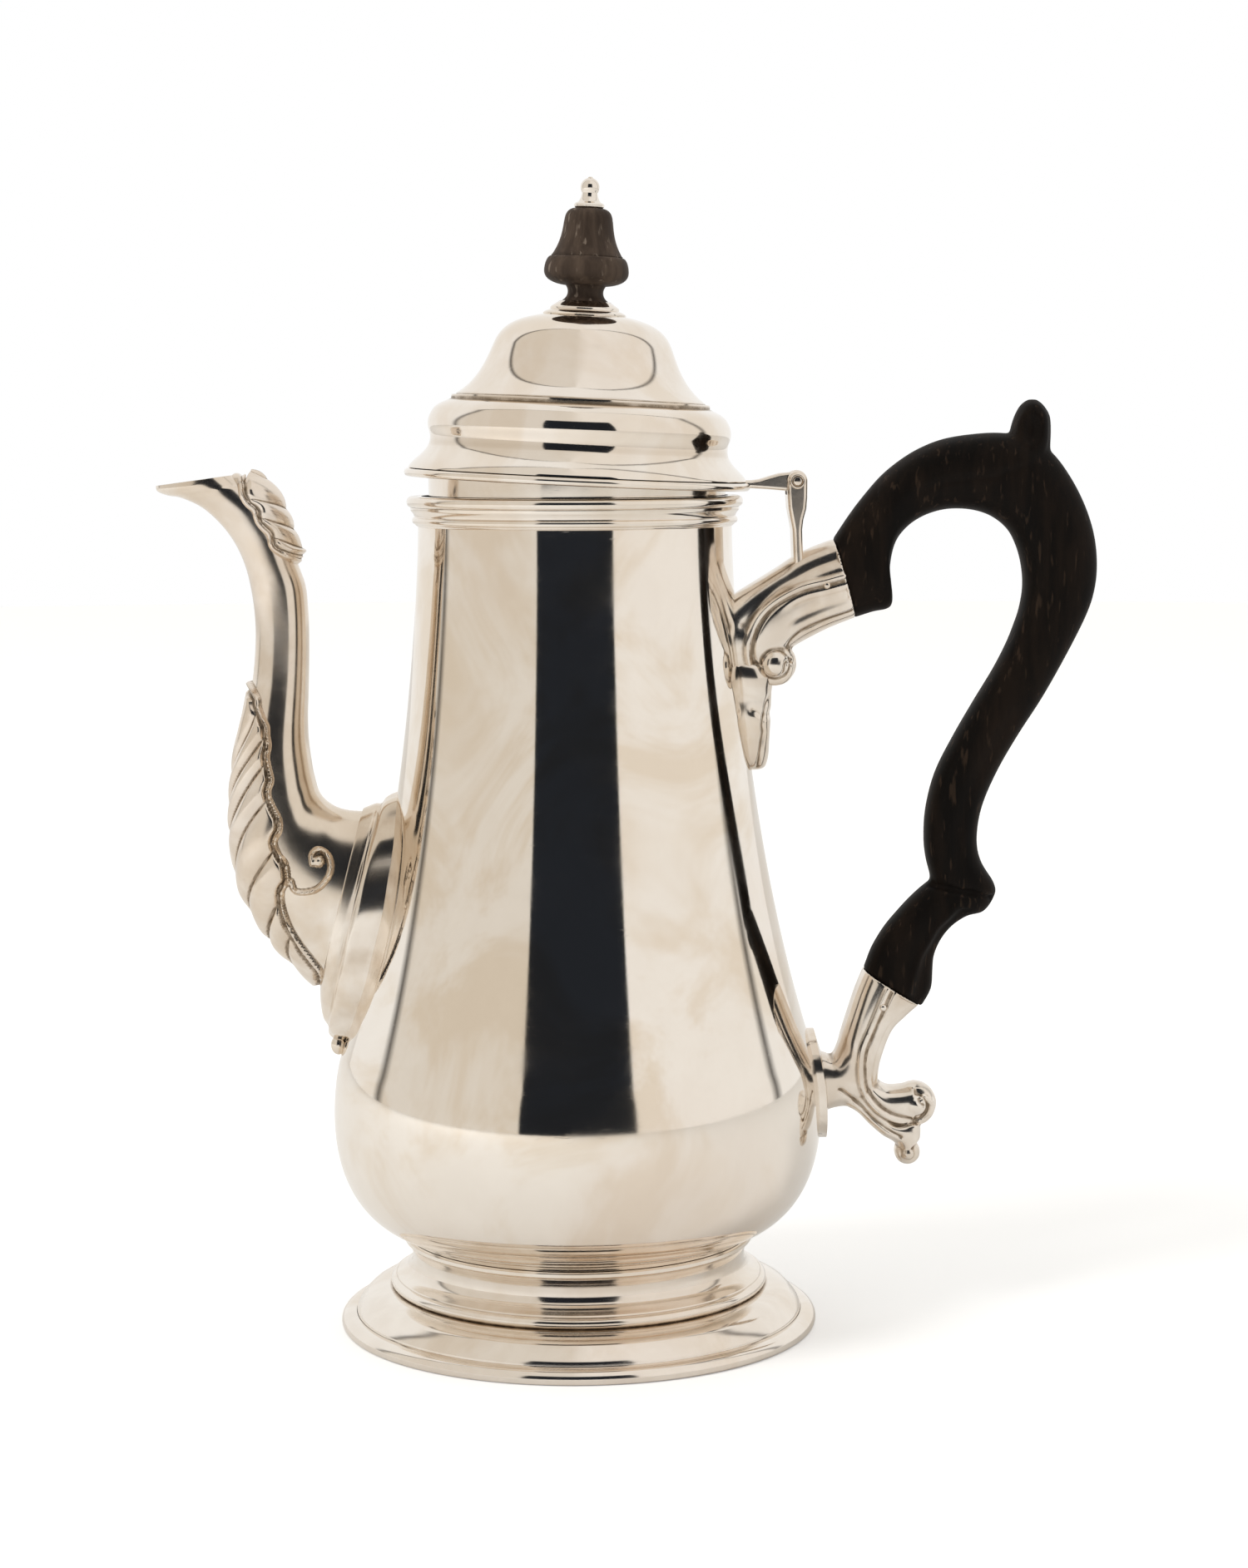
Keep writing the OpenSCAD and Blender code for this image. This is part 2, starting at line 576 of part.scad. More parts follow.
// ---------- handle ----------
// Stations from the upper socket to the lower one. They follow the line between the
// two sockets' mouths, so the handle stretches when a socket moves.
drawn_upper = [58.9, 165.7];
drawn_lower = [69.7, 75.1];
handle_rows = [
    [56.5, 174.3, 61.3, 157.1, 0.92], [60.3, 180, 65.1, 158.3, 0.96], [63.7, 184.4, 69.4, 159.8, 1],
    [67.2, 188.3, 68.7, 166.5, 1], [71.3, 191.6, 69.7, 172.7, 1], [75.5, 194.1, 72.3, 176.6, 1],
    [80.5, 196, 76.3, 179.3, 1], [86.5, 197, 81.2, 180.7, 1], [93, 197.3, 86.5, 180.6, 1],
    [99.5, 196.2, 91, 179.2, 1], [104.3, 193, 94.6, 176.4, 1], [108.3, 187.8, 96.6, 172.8, 1],
    [111.6, 181.5, 97.8, 168.6, 1], [113.7, 175, 98.2, 163.8, 1], [114.4, 168.6, 97.5, 159, 1],
    [113.9, 163, 96.2, 155, 1], [112.2, 157.6, 94.6, 151, 1], [108.2, 149.4, 91.8, 145.5, 0.98],
    [102.8, 139.6, 87.4, 138.2, 0.96], [97.2, 130.8, 83, 130.5, 0.94], [92.7, 122.8, 79.2, 122.8, 0.92],
    [89.5, 115, 77.2, 115, 0.9], [88.5, 108, 76.8, 108.2, 0.88], [89.5, 103, 77.3, 103.6, 0.86],
    [92.4, 98.2, 78.3, 99.3, 0.84], [92.6, 95.4, 77.2, 98, 0.82], [90.2, 91.9, 75.8, 96.8, 0.82],
    [86.6, 90.9, 73.8, 94.9, 0.82], [83.2, 88.7, 71.4, 92.3, 0.83], [80.7, 85.6, 68.3, 88.6, 0.84],
    [79.2, 82, 65.9, 84.8, 0.85], [78.9, 78.4, 64.7, 82.2, 0.86], [78.6, 74.6, 64, 80.2, 0.87],
    [76.5, 70.7, 63.5, 79.1, 0.87]];
// the small crest on the handle's shoulder, where the thumb rests
crest_rows = [[94.4, 193, 103.8, 193, 0.8], [95.2, 198, 104, 198, 0.78], [96.1, 201, 103.7, 201, 0.7],
    [97.4, 203.3, 102.3, 203.3, 0.52], [99, 204.5, 100.8, 204.5, 0.25]];
function handle_station(s) =
    span_station(s, lower_mouth, upper_mouth, drawn_lower, drawn_upper, handle_half_w);

module handle() {
    color(dark_wood) difference() {
        union() {
            skin([for (s = spline([for (s = handle_rows) handle_station(s)], 2)) section(s, 0.8)]);
            skin([for (s = spline([for (s = crest_rows) handle_station(s)], 2)) section(s, 0.85)]);
            upper_tenon();
            lower_tenon();
        }
        tenon_pin(upper_mouth, upper_lean, pin_l + 2);
        tenon_pin(lower_mouth, lower_lean, pin_l + 2);
    }
}

// ---------- lid hinge ----------
lid_r = neck_r + lid_over;
rim_z = mouth_z + lid_gap;
hinge = [lid_r + pin_out, mouth_z + pin_up];
module across(w) {
    rotate([90, 0, 0]) linear_extrude(w, center = true) children();
}
module lid_turn() {
    translate([hinge.x, 0, hinge.y]) rotate([0, lid_ajar, 0]) translate([-hinge.x, 0, -hinge.y]) children();
}
module on_lid() {
    lid_turn() translate([lid_off, 0, 0]) children();
}
module at_hinge() {
    translate([hinge.x, 0, hinge.y]) rotate([90, 0, 0]) children();
}

// forked post that stands on the upper socket
module hinge_post() {
    foot_z = upper_z - 1.5;
    shoulder_drop = 4.6;
    neck_drop = 9;
    slot_down = 0.8;      // the fork's slot below the knuckle
    color(silver) difference() {
        union() {
            at_hinge() cylinder(r = knuckle_r, h = post_w, center = true, $fn = 64);
            across(post_w) polygon([[hinge.x - knuckle_r, hinge.y], [hinge.x + knuckle_r, hinge.y],
                [hinge.x + knuckle_r, hinge.y - shoulder_drop], [hinge.x + blade_t/2, hinge.y - neck_drop],
                [hinge.x + blade_t/2, foot_z], [hinge.x - blade_t/2, foot_z],
                [hinge.x - blade_t/2, hinge.y - neck_drop], [hinge.x - knuckle_r, hinge.y - shoulder_drop]]);
        }
        translate([hinge.x - far/2, -knuckle_w/2 - fork_gap, hinge.y - knuckle_r - slot_down])
            cube([far, knuckle_w + 2*fork_gap, far]);
        at_hinge() cylinder(r = pin_r, h = post_w + 2, center = true, $fn = 48);
        upper_casting();
    }
}

module hinge_pin() {
    head_t = 0.6;
    color(silver) at_hinge() {
        cylinder(r = pin_r, h = post_w, center = true, $fn = 48);
        for (side = [-1, 1]) translate([0, 0, side * (post_w + head_t)/2])
            cylinder(r = pin_r + 0.7, h = head_t, center = true, $fn = 48);
    }
}

// strap from the lid's rim to the pin
arm_r = knuckle_r + 0.2;
module hinge_arm() {
    low = rim_z + 0.2;
    top = hinge.y - 0.6;
    color(silver) lid_turn() difference() {
        union() {
            at_hinge() cylinder(r = arm_r, h = knuckle_w, center = true, $fn = 64);
            across(knuckle_w) polygon([[lid_r - 3, low], [lid_r + 2, low], [hinge.x, hinge.y - arm_r],
                [hinge.x, hinge.y + arm_r], [hinge.x - arm_r, hinge.y + arm_r - 0.1],
                [hinge.x - 7, hinge.y + 0.8], [lid_r, top], [lid_r - 3, top]]);
        }
        at_hinge() cylinder(r = pin_r + pin_clear, h = knuckle_w + 2, center = true, $fn = 48);
        translate([lid_off, 0, 0]) {
            lid_blank();
            rim_blank();
        }
    }
}

// ---------- lid ----------
crown_z = rim_z + lid_h;
shell_z = rim_z + rim_h;
step_r = 27.3;              // radius of the step between the ogee and the dome
lid_line = concat(
    bezier([lid_r - 0.9, shell_z], [lid_r - 1.7, shell_z + 2], [lid_r - 4.9, shell_z + 3.4],
           [lid_r - 5.5, shell_z + 6.4], 8),
    bezier([lid_r - 5.4, shell_z + 7], [lid_r - 4.3, shell_z + 9.4], [lid_r - 4.5, shell_z + 13],
           [step_r + 0.9, shell_z + 15.2], 10),
    [[step_r, shell_z + 15.4]],
    bezier([step_r - 0.3, shell_z + 15.9], [step_r - 4.4, shell_z + 18.6], [step_r - 7, crown_z - 10],
           [step_r - 8, crown_z - 6.6], 10),
    bezier([step_r - 8.2, crown_z - 6.1], [step_r - 9.6, crown_z - 2.8], [14, crown_z - 0.9],
           [9, crown_z], 10));
module lid_blank() {
    rotate_extrude() polygon(concat([[0, shell_z]], lid_line, [[0, crown_z]]));
}
rim_in_r = mouth_in_r - bezel_gap;
module rim_blank() {
    rotate_extrude() polygon(concat([[rim_in_r, rim_z], [lid_r - 0.4, rim_z]],
        arc([lid_r - rim_h/2, rim_z + rim_h/2], rim_h/2, -60, 75, 8),
        [[lid_r - 0.5, shell_z], [rim_in_r, shell_z]]));
}

module lid() {
    inner = [for (p = shifted(lid_line, lid_wall)) if (p.y > shell_z) p];
    line = concat([[0, shell_z - 1]], [[inner[0].x, shell_z - 1]], inner, [[0, inner[len(inner) - 1].y]]);
    color(silver) on_lid() difference() {
        lid_blank();
        rotate_extrude() polygon(line);
        cylinder(r = bolt_r, h = crown_z + 5, $fn = 48);
    }
}

module lid_rim() {
    color(silver) on_lid() rim_blank();
}

// ring below the lid that drops into the neck
module lid_bezel() {
    low_r = rim_in_r - 0.3;
    color(silver) on_lid() rotate_extrude() polygon([[rim_in_r - bezel_t, shell_z], [rim_in_r, shell_z],
        [rim_in_r, rim_z], [low_r, rim_z - bezel_h], [low_r - bezel_t, rim_z - bezel_h],
        [rim_in_r - bezel_t, rim_z]]);
}

// ---------- finial ----------
finial_z = crown_z + seat_h;
cap_z = finial_z + finial_h;
module bolt_hole(z0, z1) {
    translate([0, 0, z0]) cylinder(r = bolt_r, h = z1 - z0, $fn = 48);
}

module finial_seat() {
    line = concat([[0, crown_z]], bezier([9, crown_z], [8.6, crown_z + 0.9], [7, crown_z + 1.4],
        [6.3, crown_z + seat_h - 0.8], 8), [[5.4, finial_z], [0, finial_z]]);
    color(silver) on_lid() difference() {
        rotate_extrude() polygon(line);
        bolt_hole(crown_z - 1, finial_z + 1);
    }
}

module finial() {
    waist = 3.7;
    line = concat(
        [[0, finial_z], [4.9, finial_z]],
        bezier([4.6, finial_z + 0.4], [waist, finial_z + 1.2], [waist, finial_z + 2.4],
               [waist + 1, finial_z + 3.2], 6),
        bezier([waist + 1.2, finial_z + 3.3], [finial_r - 2, finial_z + 4], [finial_r, finial_z + 4.6],
               [finial_r, finial_z + 6.4], 8),
        bezier([finial_r, finial_z + 6.6], [finial_r - 0.4, finial_z + 8.6], [finial_r - 1, finial_z + 9.6],
               [7.7, finial_z + 10.2], 6),
        bezier([7.5, finial_z + 10.5], [5.9, finial_z + 12.4], [5.6, cap_z - 6], [5.3, cap_z - 2.6], 8),
        bezier([5.2, cap_z - 2.2], [5, cap_z - 1], [4.4, cap_z - 0.3], [3.6, cap_z], 4),
        [[0, cap_z]]);
    color(worn_wood) on_lid() difference() {
        rotate_extrude() polygon(line);
        bolt_hole(finial_z - 1, cap_z + 1);
    }
}

module finial_cap() {
    ball = 2.15;
    flange = 3.4;
    ball_z = cap_z + cap_h - ball;
    line = concat([[0, cap_z], [flange, cap_z], [flange, cap_z + 0.7]],
        bezier([flange - 0.3, cap_z + 1], [ball + 0.3, cap_z + 1.4], [ball - 0.2, cap_z + 2],
               [ball * cos(25), ball_z - ball * sin(25)], 6),
        arc([0, ball_z], ball, -20, 90, 12));
    color(silver) on_lid() difference() {
        rotate_extrude() polygon(line);
        bolt_hole(cap_z - 1, cap_z + bolt_in);
    }
}

under_crown_z = crown_z - lid_wall;
module finial_bolt() {
    tail = 1.2;
    color(silver) on_lid()
        bolt_hole(under_crown_z - washer_t - nut_h - tail, cap_z + bolt_in);
}

module finial_washer() {
    color(silver) on_lid() difference() {
        translate([0, 0, under_crown_z - washer_t]) cylinder(r = washer_r, h = washer_t, $fn = 64);
        bolt_hole(under_crown_z - far, crown_z);
    }
}

module finial_nut() {
    color(silver) on_lid() difference() {
        translate([0, 0, under_crown_z - washer_t - nut_h]) cylinder(d = nut_d, h = nut_h, $fn = 6);
        bolt_hole(under_crown_z - far, crown_z);
    }
}

body();
mouth_wire();
neck_moulding();
foot_band();
foot();
foot_wire();
spout();
spout_collar();
spout_shell();
spout_leaf();
spout_pendant();
upper_socket();
socket_drop();
upper_pin();
handle();
lower_socket();
lower_plate();
lower_pin();
hinge_post();
hinge_pin();
hinge_arm();
lid();
lid_rim();
lid_bezel();
finial_seat();
finial();
finial_cap();
finial_bolt();
finial_washer();
finial_nut();
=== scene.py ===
import bpy
import math
import numpy as np
from mathutils import Matrix, Vector
from mathutils.geometry import interpolate_bezier


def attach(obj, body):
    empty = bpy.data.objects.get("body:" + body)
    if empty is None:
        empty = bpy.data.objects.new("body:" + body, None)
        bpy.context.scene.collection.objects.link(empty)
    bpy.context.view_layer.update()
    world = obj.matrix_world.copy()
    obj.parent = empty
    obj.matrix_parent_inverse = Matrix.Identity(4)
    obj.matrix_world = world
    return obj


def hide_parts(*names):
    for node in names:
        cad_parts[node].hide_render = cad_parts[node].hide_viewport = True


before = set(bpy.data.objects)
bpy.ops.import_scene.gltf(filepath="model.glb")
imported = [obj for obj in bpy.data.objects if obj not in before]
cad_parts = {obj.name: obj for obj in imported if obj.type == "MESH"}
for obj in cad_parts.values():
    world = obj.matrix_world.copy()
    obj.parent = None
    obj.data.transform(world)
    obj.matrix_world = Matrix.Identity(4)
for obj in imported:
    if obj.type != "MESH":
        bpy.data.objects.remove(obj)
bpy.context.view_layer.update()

# ---------------------------------------------------------------------------
# Foot. A spun sheet of silver with a ring bead, turned in a lathe, with a heavy
# half-round base moulding soldered round its edge to stand on.

MM = 0.001                      # sizes are written in millimetres


def curve(a, b, c, d, count):
    """Points of one smooth stretch of an outline, pulled towards b and c."""
    points = interpolate_bezier(*(Vector((*p, 0)) for p in (a, b, c, d)), count)
    return [(p.x, p.y) for p in points]


def arc(centre, radius, start, end, count):
    """Points on a round stretch of an outline, its angles in degrees."""
    angles = [math.radians(start + (end - start) * i / (count - 1)) for i in range(count)]
    return [(centre[0] + radius * math.cos(a), centre[1] + radius * math.sin(a)) for a in angles]


def inside_of(outline, wall):
    """The same outline, a wall's thickness further in, run the other way."""
    points = []
    for i, (x, z) in enumerate(outline):
        ax, az = outline[max(i - 1, 0)]
        bx, bz = outline[min(i + 1, len(outline) - 1)]
        length = math.hypot(bx - ax, bz - az)
        points.append((max(0.0, x - wall * (bz - az) / length), z + wall * (bx - ax) / length))
    return points[::-1]


def named(name):
    """Names the piece that was just made."""
    piece = bpy.context.object
    piece.name = name
    piece.data.name = name
    return piece


def take_up(*pieces):
    """Selects these pieces alone and makes the first the active one."""
    bpy.ops.object.select_all(action="DESELECT")
    for piece in pieces:
        piece.select_set(True)
    bpy.context.view_layer.objects.active = pieces[0]


def edit_all():
    bpy.ops.object.mode_set(mode="EDIT")
    bpy.ops.mesh.select_all(action="SELECT")


def start_point(name, x, z):
    """A new piece that is one point of the pot's side view, left in edit mode."""
    bpy.ops.mesh.primitive_plane_add(size=MM, location=(0, 0, 0))
    piece = named(name)
    bpy.ops.object.mode_set(mode="EDIT")
    bpy.ops.mesh.select_mode(type="VERT")
    bpy.ops.mesh.merge(type="CENTER")
    bpy.ops.transform.translate(value=(x * MM, 0, z * MM))
    return piece


def draw_line(outline):
    """Extrudes the selected point along the rest of an outline."""
    for (ax, az), (bx, bz) in zip(outline, outline[1:]):
        step = ((bx - ax) * MM, 0, (bz - az) * MM)
        bpy.ops.mesh.extrude_vertices_move(TRANSFORM_OT_translate={"value": step})


def finish_mesh(crease):
    """Merges doubles, turns every face outwards, and leaves the piece smooth up to a crease angle."""
    bpy.ops.mesh.select_all(action="SELECT")
    bpy.ops.mesh.remove_doubles(threshold=0.002 * MM)
    bpy.ops.mesh.normals_make_consistent(inside=False)
    bpy.ops.object.mode_set(mode="OBJECT")
    bpy.ops.object.shade_smooth_by_angle(angle=math.radians(crease))


def turned(name, outline, steps=192, crease=35):
    """A lathe-turned piece: an outline of (radius, height) points spun round the pot's axis."""
    piece = start_point(name, *outline[0])
    draw_line(outline)
    bpy.ops.mesh.select_all(action="SELECT")
    bpy.ops.mesh.spin(steps=steps, angle=math.tau, center=(0, 0, 0), axis=(0, 0, 1))
    finish_mesh(crease)
    return piece


def put_node(tree, kind, links=None, **settings):
    """A shader node with its settings, and its sockets set or linked."""
    node = tree.nodes.new(kind)
    for key, value in settings.items():
        setattr(node, key, value)
    for socket, value in (links or {}).items():
        if isinstance(value, bpy.types.NodeSocket):
            tree.links.new(value, node.inputs[socket])
        else:
            node.inputs[socket].default_value = value
    return node


def maths(tree, operation, a, b=0.0, clamp=False):
    node = put_node(tree, "ShaderNodeMath", {0: a, 1: b}, operation=operation, use_clamp=clamp)
    return node.outputs[0]


def spread(tree, value, low, high, out_low=0.0, out_high=1.0):
    """Maps a value smoothly from one range to another."""
    links = {"Value": value, "From Min": low, "From Max": high, "To Min": out_low, "To Max": out_high}
    return put_node(tree, "ShaderNodeMapRange", links, interpolation_type="SMOOTHSTEP").outputs[0]


def noise(tree, where, scale, detail=3.0, roughness=0.5, distortion=0.0):
    links = {"Vector": where, "Scale": scale, "Detail": detail, "Roughness": roughness,
             "Distortion": distortion}
    return put_node(tree, "ShaderNodeTexNoise", links).outputs["Fac"]


def mixed(tree, share, a, b):
    """Colour a going over to colour b."""
    return put_node(tree, "ShaderNodeMix", {0: share, 6: a, 7: b}, data_type="RGBA").outputs[2]


def new_group(name, takes, gives):
    """An empty shader node group with its sockets, and the two nodes that stand for them."""
    tree = bpy.data.node_groups.new(name, "ShaderNodeTree")
    for socket, kind, value in takes:
        made = tree.interface.new_socket(socket, in_out="INPUT", socket_type="NodeSocket" + kind)
        if value is not None:
            made.default_value = value
    for socket, kind in gives:
        tree.interface.new_socket(socket, in_out="OUTPUT", socket_type="NodeSocket" + kind)
    return tree, tree.nodes.new("NodeGroupInput").outputs, tree.nodes.new("NodeGroupOutput").inputs


# Old silver: faint clouds of tarnish, milky smudges, darker hollows and fine scratches.
CLEAN = (0.88, 0.82, 0.745, 1)
WARM = (0.79, 0.69, 0.57, 1)
ROSY = (0.80, 0.69, 0.60, 1)
BROWNED = (0.50, 0.385, 0.27, 1)
HOLLOW_RIM = (0.55, 0.43, 0.31, 1)
TARNISH = (0.10, 0.075, 0.05, 1)


def make_patina():
    tree, take, give = new_group(
        "old silver",
        [("Where", "Vector", None), ("Hollow", "Float", 0.0), ("Clouds", "Float", 0.5),
         ("Brown", "Float", 0.1), ("Dullness", "Float", 0.12), ("Scratches", "Float", 0.4)],
        [("Tint", "Color"), ("Roughness", "Float"), ("Height", "Float")])
    where = take["Where"]
    clouds = noise(tree, where, 27, 4, 0.6, 0.9)
    drift = noise(tree, where, 11, 3, 0.5)
    warm = maths(tree, "MULTIPLY", spread(tree, clouds, 0.44, 0.64), take["Clouds"])
    rosy = maths(tree, "MULTIPLY", spread(tree, drift, 0.45, 0.7), take["Clouds"])
    tint = mixed(tree, warm, CLEAN, WARM)
    tint = mixed(tree, maths(tree, "MULTIPLY", rosy, 0.5), tint, ROSY)
    brown = spread(tree, noise(tree, where, 95, 4, 0.6, 0.5), 0.34, 0.66, 0.3, 1.0)
    tint = mixed(tree, maths(tree, "MULTIPLY", brown, take["Brown"]), tint, BROWNED)
    specks = noise(tree, where, 1300, 2, 0.6)
    broken = spread(tree, noise(tree, where, 420, 3, 0.7), 0.3, 0.6, 0.55, 1.0)
    hollow = maths(tree, "MULTIPLY", spread(tree, take["Hollow"], 0.12, 0.75), broken)
    tint = mixed(tree, hollow, tint, TARNISH)
    rim = spread(tree, take["Hollow"], 0.02, 0.3, 0.0, 0.4)
    tint = mixed(tree, rim, tint, HOLLOW_RIM)
    tree.links.new(tint, give["Tint"])
    streaked = put_node(tree, "ShaderNodeMapping", {"Vector": where, "Rotation": (0.3, 0.5, 0.2),
                                                    "Scale": (1, 1, 9)}).outputs[0]
    scratch = spread(tree, noise(tree, streaked, 260, 2, 0.7), 0.62, 0.75)
    scratch = maths(tree, "MULTIPLY", scratch, take["Scratches"])
    smudge = spread(tree, noise(tree, where, 58, 5, 0.65, 0.4), 0.4, 0.75, 0.0, 0.06)
    rough = maths(tree, "ADD", take["Dullness"], smudge)
    rough = maths(tree, "ADD", rough, maths(tree, "MULTIPLY", scratch, 0.08))
    rough = maths(tree, "ADD", rough, maths(tree, "MULTIPLY", hollow, 0.35))
    tree.links.new(rough, give["Roughness"])
    height = maths(tree, "MULTIPLY", specks, 0.0012 * MM)
    height = maths(tree, "SUBTRACT", height, maths(tree, "MULTIPLY", scratch, 0.0016 * MM))
    tree.links.new(height, give["Height"])
    return tree


patina = make_patina()


def new_material(name):
    """A new material, its node tree, its shader, and the place on the piece."""
    material = bpy.data.materials.new(name)
    material.use_nodes = True
    tree = material.node_tree
    where = put_node(tree, "ShaderNodeTexCoord").outputs["Object"]
    return material, tree, tree.nodes["Principled BSDF"].inputs, where


def hollowness(tree):
    return put_node(tree, "ShaderNodeAttribute", attribute_name="hollow").outputs["Fac"]


def coat(tree, shader, group, height):
    """Joins a group's colour and roughness, and a relief, to the shader."""
    bump = put_node(tree, "ShaderNodeBump", {"Strength": 1.0, "Distance": 1.0, "Height": height})
    tree.links.new(group["Tint"], shader["Base Color"])
    tree.links.new(group["Roughness"], shader["Roughness"])
    tree.links.new(bump.outputs[0], shader["Normal"])


def silver(name, clouds, brown, dullness, scratches, waviness=0.0, hollows=False):
    """A silver finish: how clouded, brown, dull and scratched it is, and how uneven it lies."""
    material, tree, shader, where = new_material(name)
    shader["Metallic"].default_value = 1.0
    links = {"Where": where, "Clouds": clouds, "Brown": brown, "Dullness": dullness,
             "Scratches": scratches}
    if hollows:
        links["Hollow"] = hollowness(tree)
    group = put_node(tree, "ShaderNodeGroup", links, node_tree=patina).outputs
    height = group["Height"]
    if waviness:
        swell = maths(tree, "MULTIPLY", noise(tree, where, 38, 1, 0.4), waviness * MM)
        height = maths(tree, "ADD", height, swell)
    coat(tree, shader, group, height)
    return material


def dressed(piece, material, body, slot, *nodes):
    """Gives a piece its material, its body and the nodes that it stands for; the slot is not used."""
    piece.data.materials.clear()
    piece.data.materials.append(material)
    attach(piece, body)
    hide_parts(*nodes)
    return piece


def points_of(mesh):
    """A mesh's points, and the way that each one faces."""
    co, nor = np.empty((2, len(mesh.vertices) * 3))
    mesh.vertices.foreach_get("co", co)
    mesh.vertex_normals.foreach_get("vector", nor)
    return co.reshape(-1, 3), nor.reshape(-1, 3)


def mark_hollows(piece, reach=6, gain=7.0):
    """Writes how hollow each point lies into the attribute that the silver darkens by."""
    mesh = piece.data
    count = len(mesh.vertices)
    co, nor = points_of(mesh)
    pairs = np.empty(len(mesh.edges) * 2, int)
    mesh.edges.foreach_get("vertices", pairs)
    a, b = pairs.reshape(-1, 2).T
    links = np.maximum(np.bincount(a, minlength=count) + np.bincount(b, minlength=count), 1)

    def shared(values):
        out = np.stack([np.bincount(a, values[b, i], count) + np.bincount(b, values[a, i], count)
                        for i in range(values.shape[1])], axis=1)
        return out / links[:, None]

    smooth = co.copy()
    for _ in range(reach):
        smooth = 0.4 * smooth + 0.6 * shared(smooth)
    deep = ((smooth - co) * nor).sum(axis=1) / MM * gain
    mark = mesh.attributes.new("hollow", "FLOAT", "POINT")
    mark.data.foreach_set("value", np.clip(deep, 0, 1).astype(np.float32))


spun_silver = silver("spun silver", 0.7, 0.16, 0.10, 0.5, 0.02, hollows=True)

base = (
    [(49.7, 0), (52.4, 0)] + curve((52.6, 0.05), (52.9, 0.2), (53, 0.7), (53, 1.1), 6)
    + curve((53, 1.3), (52.9, 2.2), (52.2, 2.9), (51.2, 3.1), 10) + [(50.9, 3.16), (49.7, 3.16), (49.7, 0)])
dressed(turned("base_moulding", base), spun_silver, "pot", "silver", "foot_wire")

dish = (
    [(49.6, 0), (49.6, 3.6)]
    + curve((49.5, 3.9), (49.0, 4.9), (48.4, 5.6), (47.2, 6.8), 12)
    + curve((46.9, 7.1), (45.4, 8.1), (43.8, 8.5), (42.4, 8.65), 10)
    + arc((40.6, 9.9), 1.3, -62, 86, 14)
    + curve((40.5, 11.5), (39.2, 11.9), (37.0, 12.4), (37.0, 15.2), 14)
    + curve((37.0, 15.6), (37.2, 17.6), (37.9, 18.6), (38.8, 19.3), 10)
    + [(38.8, 20.0), (38.3, 20.4)])
lining = [(x, max(0, z)) for x, z in inside_of(dish[:-2], 0.9)]
foot = turned("foot", dish + [(36.1, 20.4)] + lining + [dish[0]])
mark_hollows(foot, 5, 5.0)
dressed(foot, spun_silver, "pot", "silver", "foot")

# ---------------------------------------------------------------------------
# Band. A plain ring of silver soldered into the corner between body and foot.

ring = [(35.3, 20.6), (38.4, 20.6), (38.8, 20.9), (39.6, 22.2), (39.9, 23.0), (38.6, 22.3), (35.3, 21.2),
        (35.3, 20.6)]
dressed(turned("foot_band", ring), spun_silver, "pot", "silver", "foot_band")

# ---------------------------------------------------------------------------
# Body. Raised from one sheet of silver with a hammer, then planished and polished,
# with a strainer of drilled holes where the spout joins it.

BODY_WALL = 0.8
BODY = (
    curve((0.0, 19.4), (18.0, 19.5), (37.0, 20.3), (39.2, 21.5), 14)
    + curve((39.2, 21.5), (44.8, 23.1), (54.09, 29.2), (54.09, 47.5), 46)[1:]
    + curve((54.09, 47.5), (54.09, 54.9), (52.84, 59.5), (52.2, 61.5), 14)[1:]
    + curve((52.2, 61.5), (35.88, 112.5), (34.3, 171.6), (34.3, 177.0), 90)[1:]
    + [(34.3, 180.5), (34.3, 184.0)])
HOLE_R = 1.3                    # radius of a strainer hole
HOLE_PITCH = 5.0                # spacing of the strainer holes
ROOT_Z = 96.6                   # height of the spout's root


def body_radius(z):
    """Radius of the body's outside at a height."""
    return float(np.interp(z, [p[1] for p in BODY], [p[0] for p in BODY]))


def cut(piece, tool, operation="DIFFERENCE"):
    """Trims one piece by another, and takes the tool away."""
    take_up(piece)
    trim = piece.modifiers.new("trim", "BOOLEAN")
    trim.operation = operation
    trim.solver = "EXACT"
    trim.object = tool
    bpy.ops.object.modifier_apply(modifier="trim")
    bpy.data.objects.remove(tool, do_unlink=True)


def ease(piece, width, limit=40, crease=35):
    """Takes the sharpness off the edges that turn by more than the limit."""
    take_up(piece)
    soft = piece.modifiers.new("soften", "BEVEL")
    soft.width = width * MM
    soft.segments = 3
    soft.angle_limit = math.radians(limit)
    bpy.ops.object.modifier_apply(modifier="soften")
    bpy.ops.object.shade_smooth_by_angle(angle=math.radians(crease))


def slab(name, outline, width, bevel=0):
    """A side-view outline given a thickness across the pot, its edges eased."""
    piece = start_point(name, *outline[0])
    draw_line(outline)
    bpy.ops.mesh.select_all(action="SELECT")
    bpy.ops.mesh.edge_face_add()
    bpy.ops.transform.translate(value=(0, -width * MM / 2, 0))
    bpy.ops.mesh.extrude_region_move(TRANSFORM_OT_translate={"value": (0, width * MM, 0)})
    finish_mesh(35)
    if bevel:
        ease(piece, bevel)
    return piece


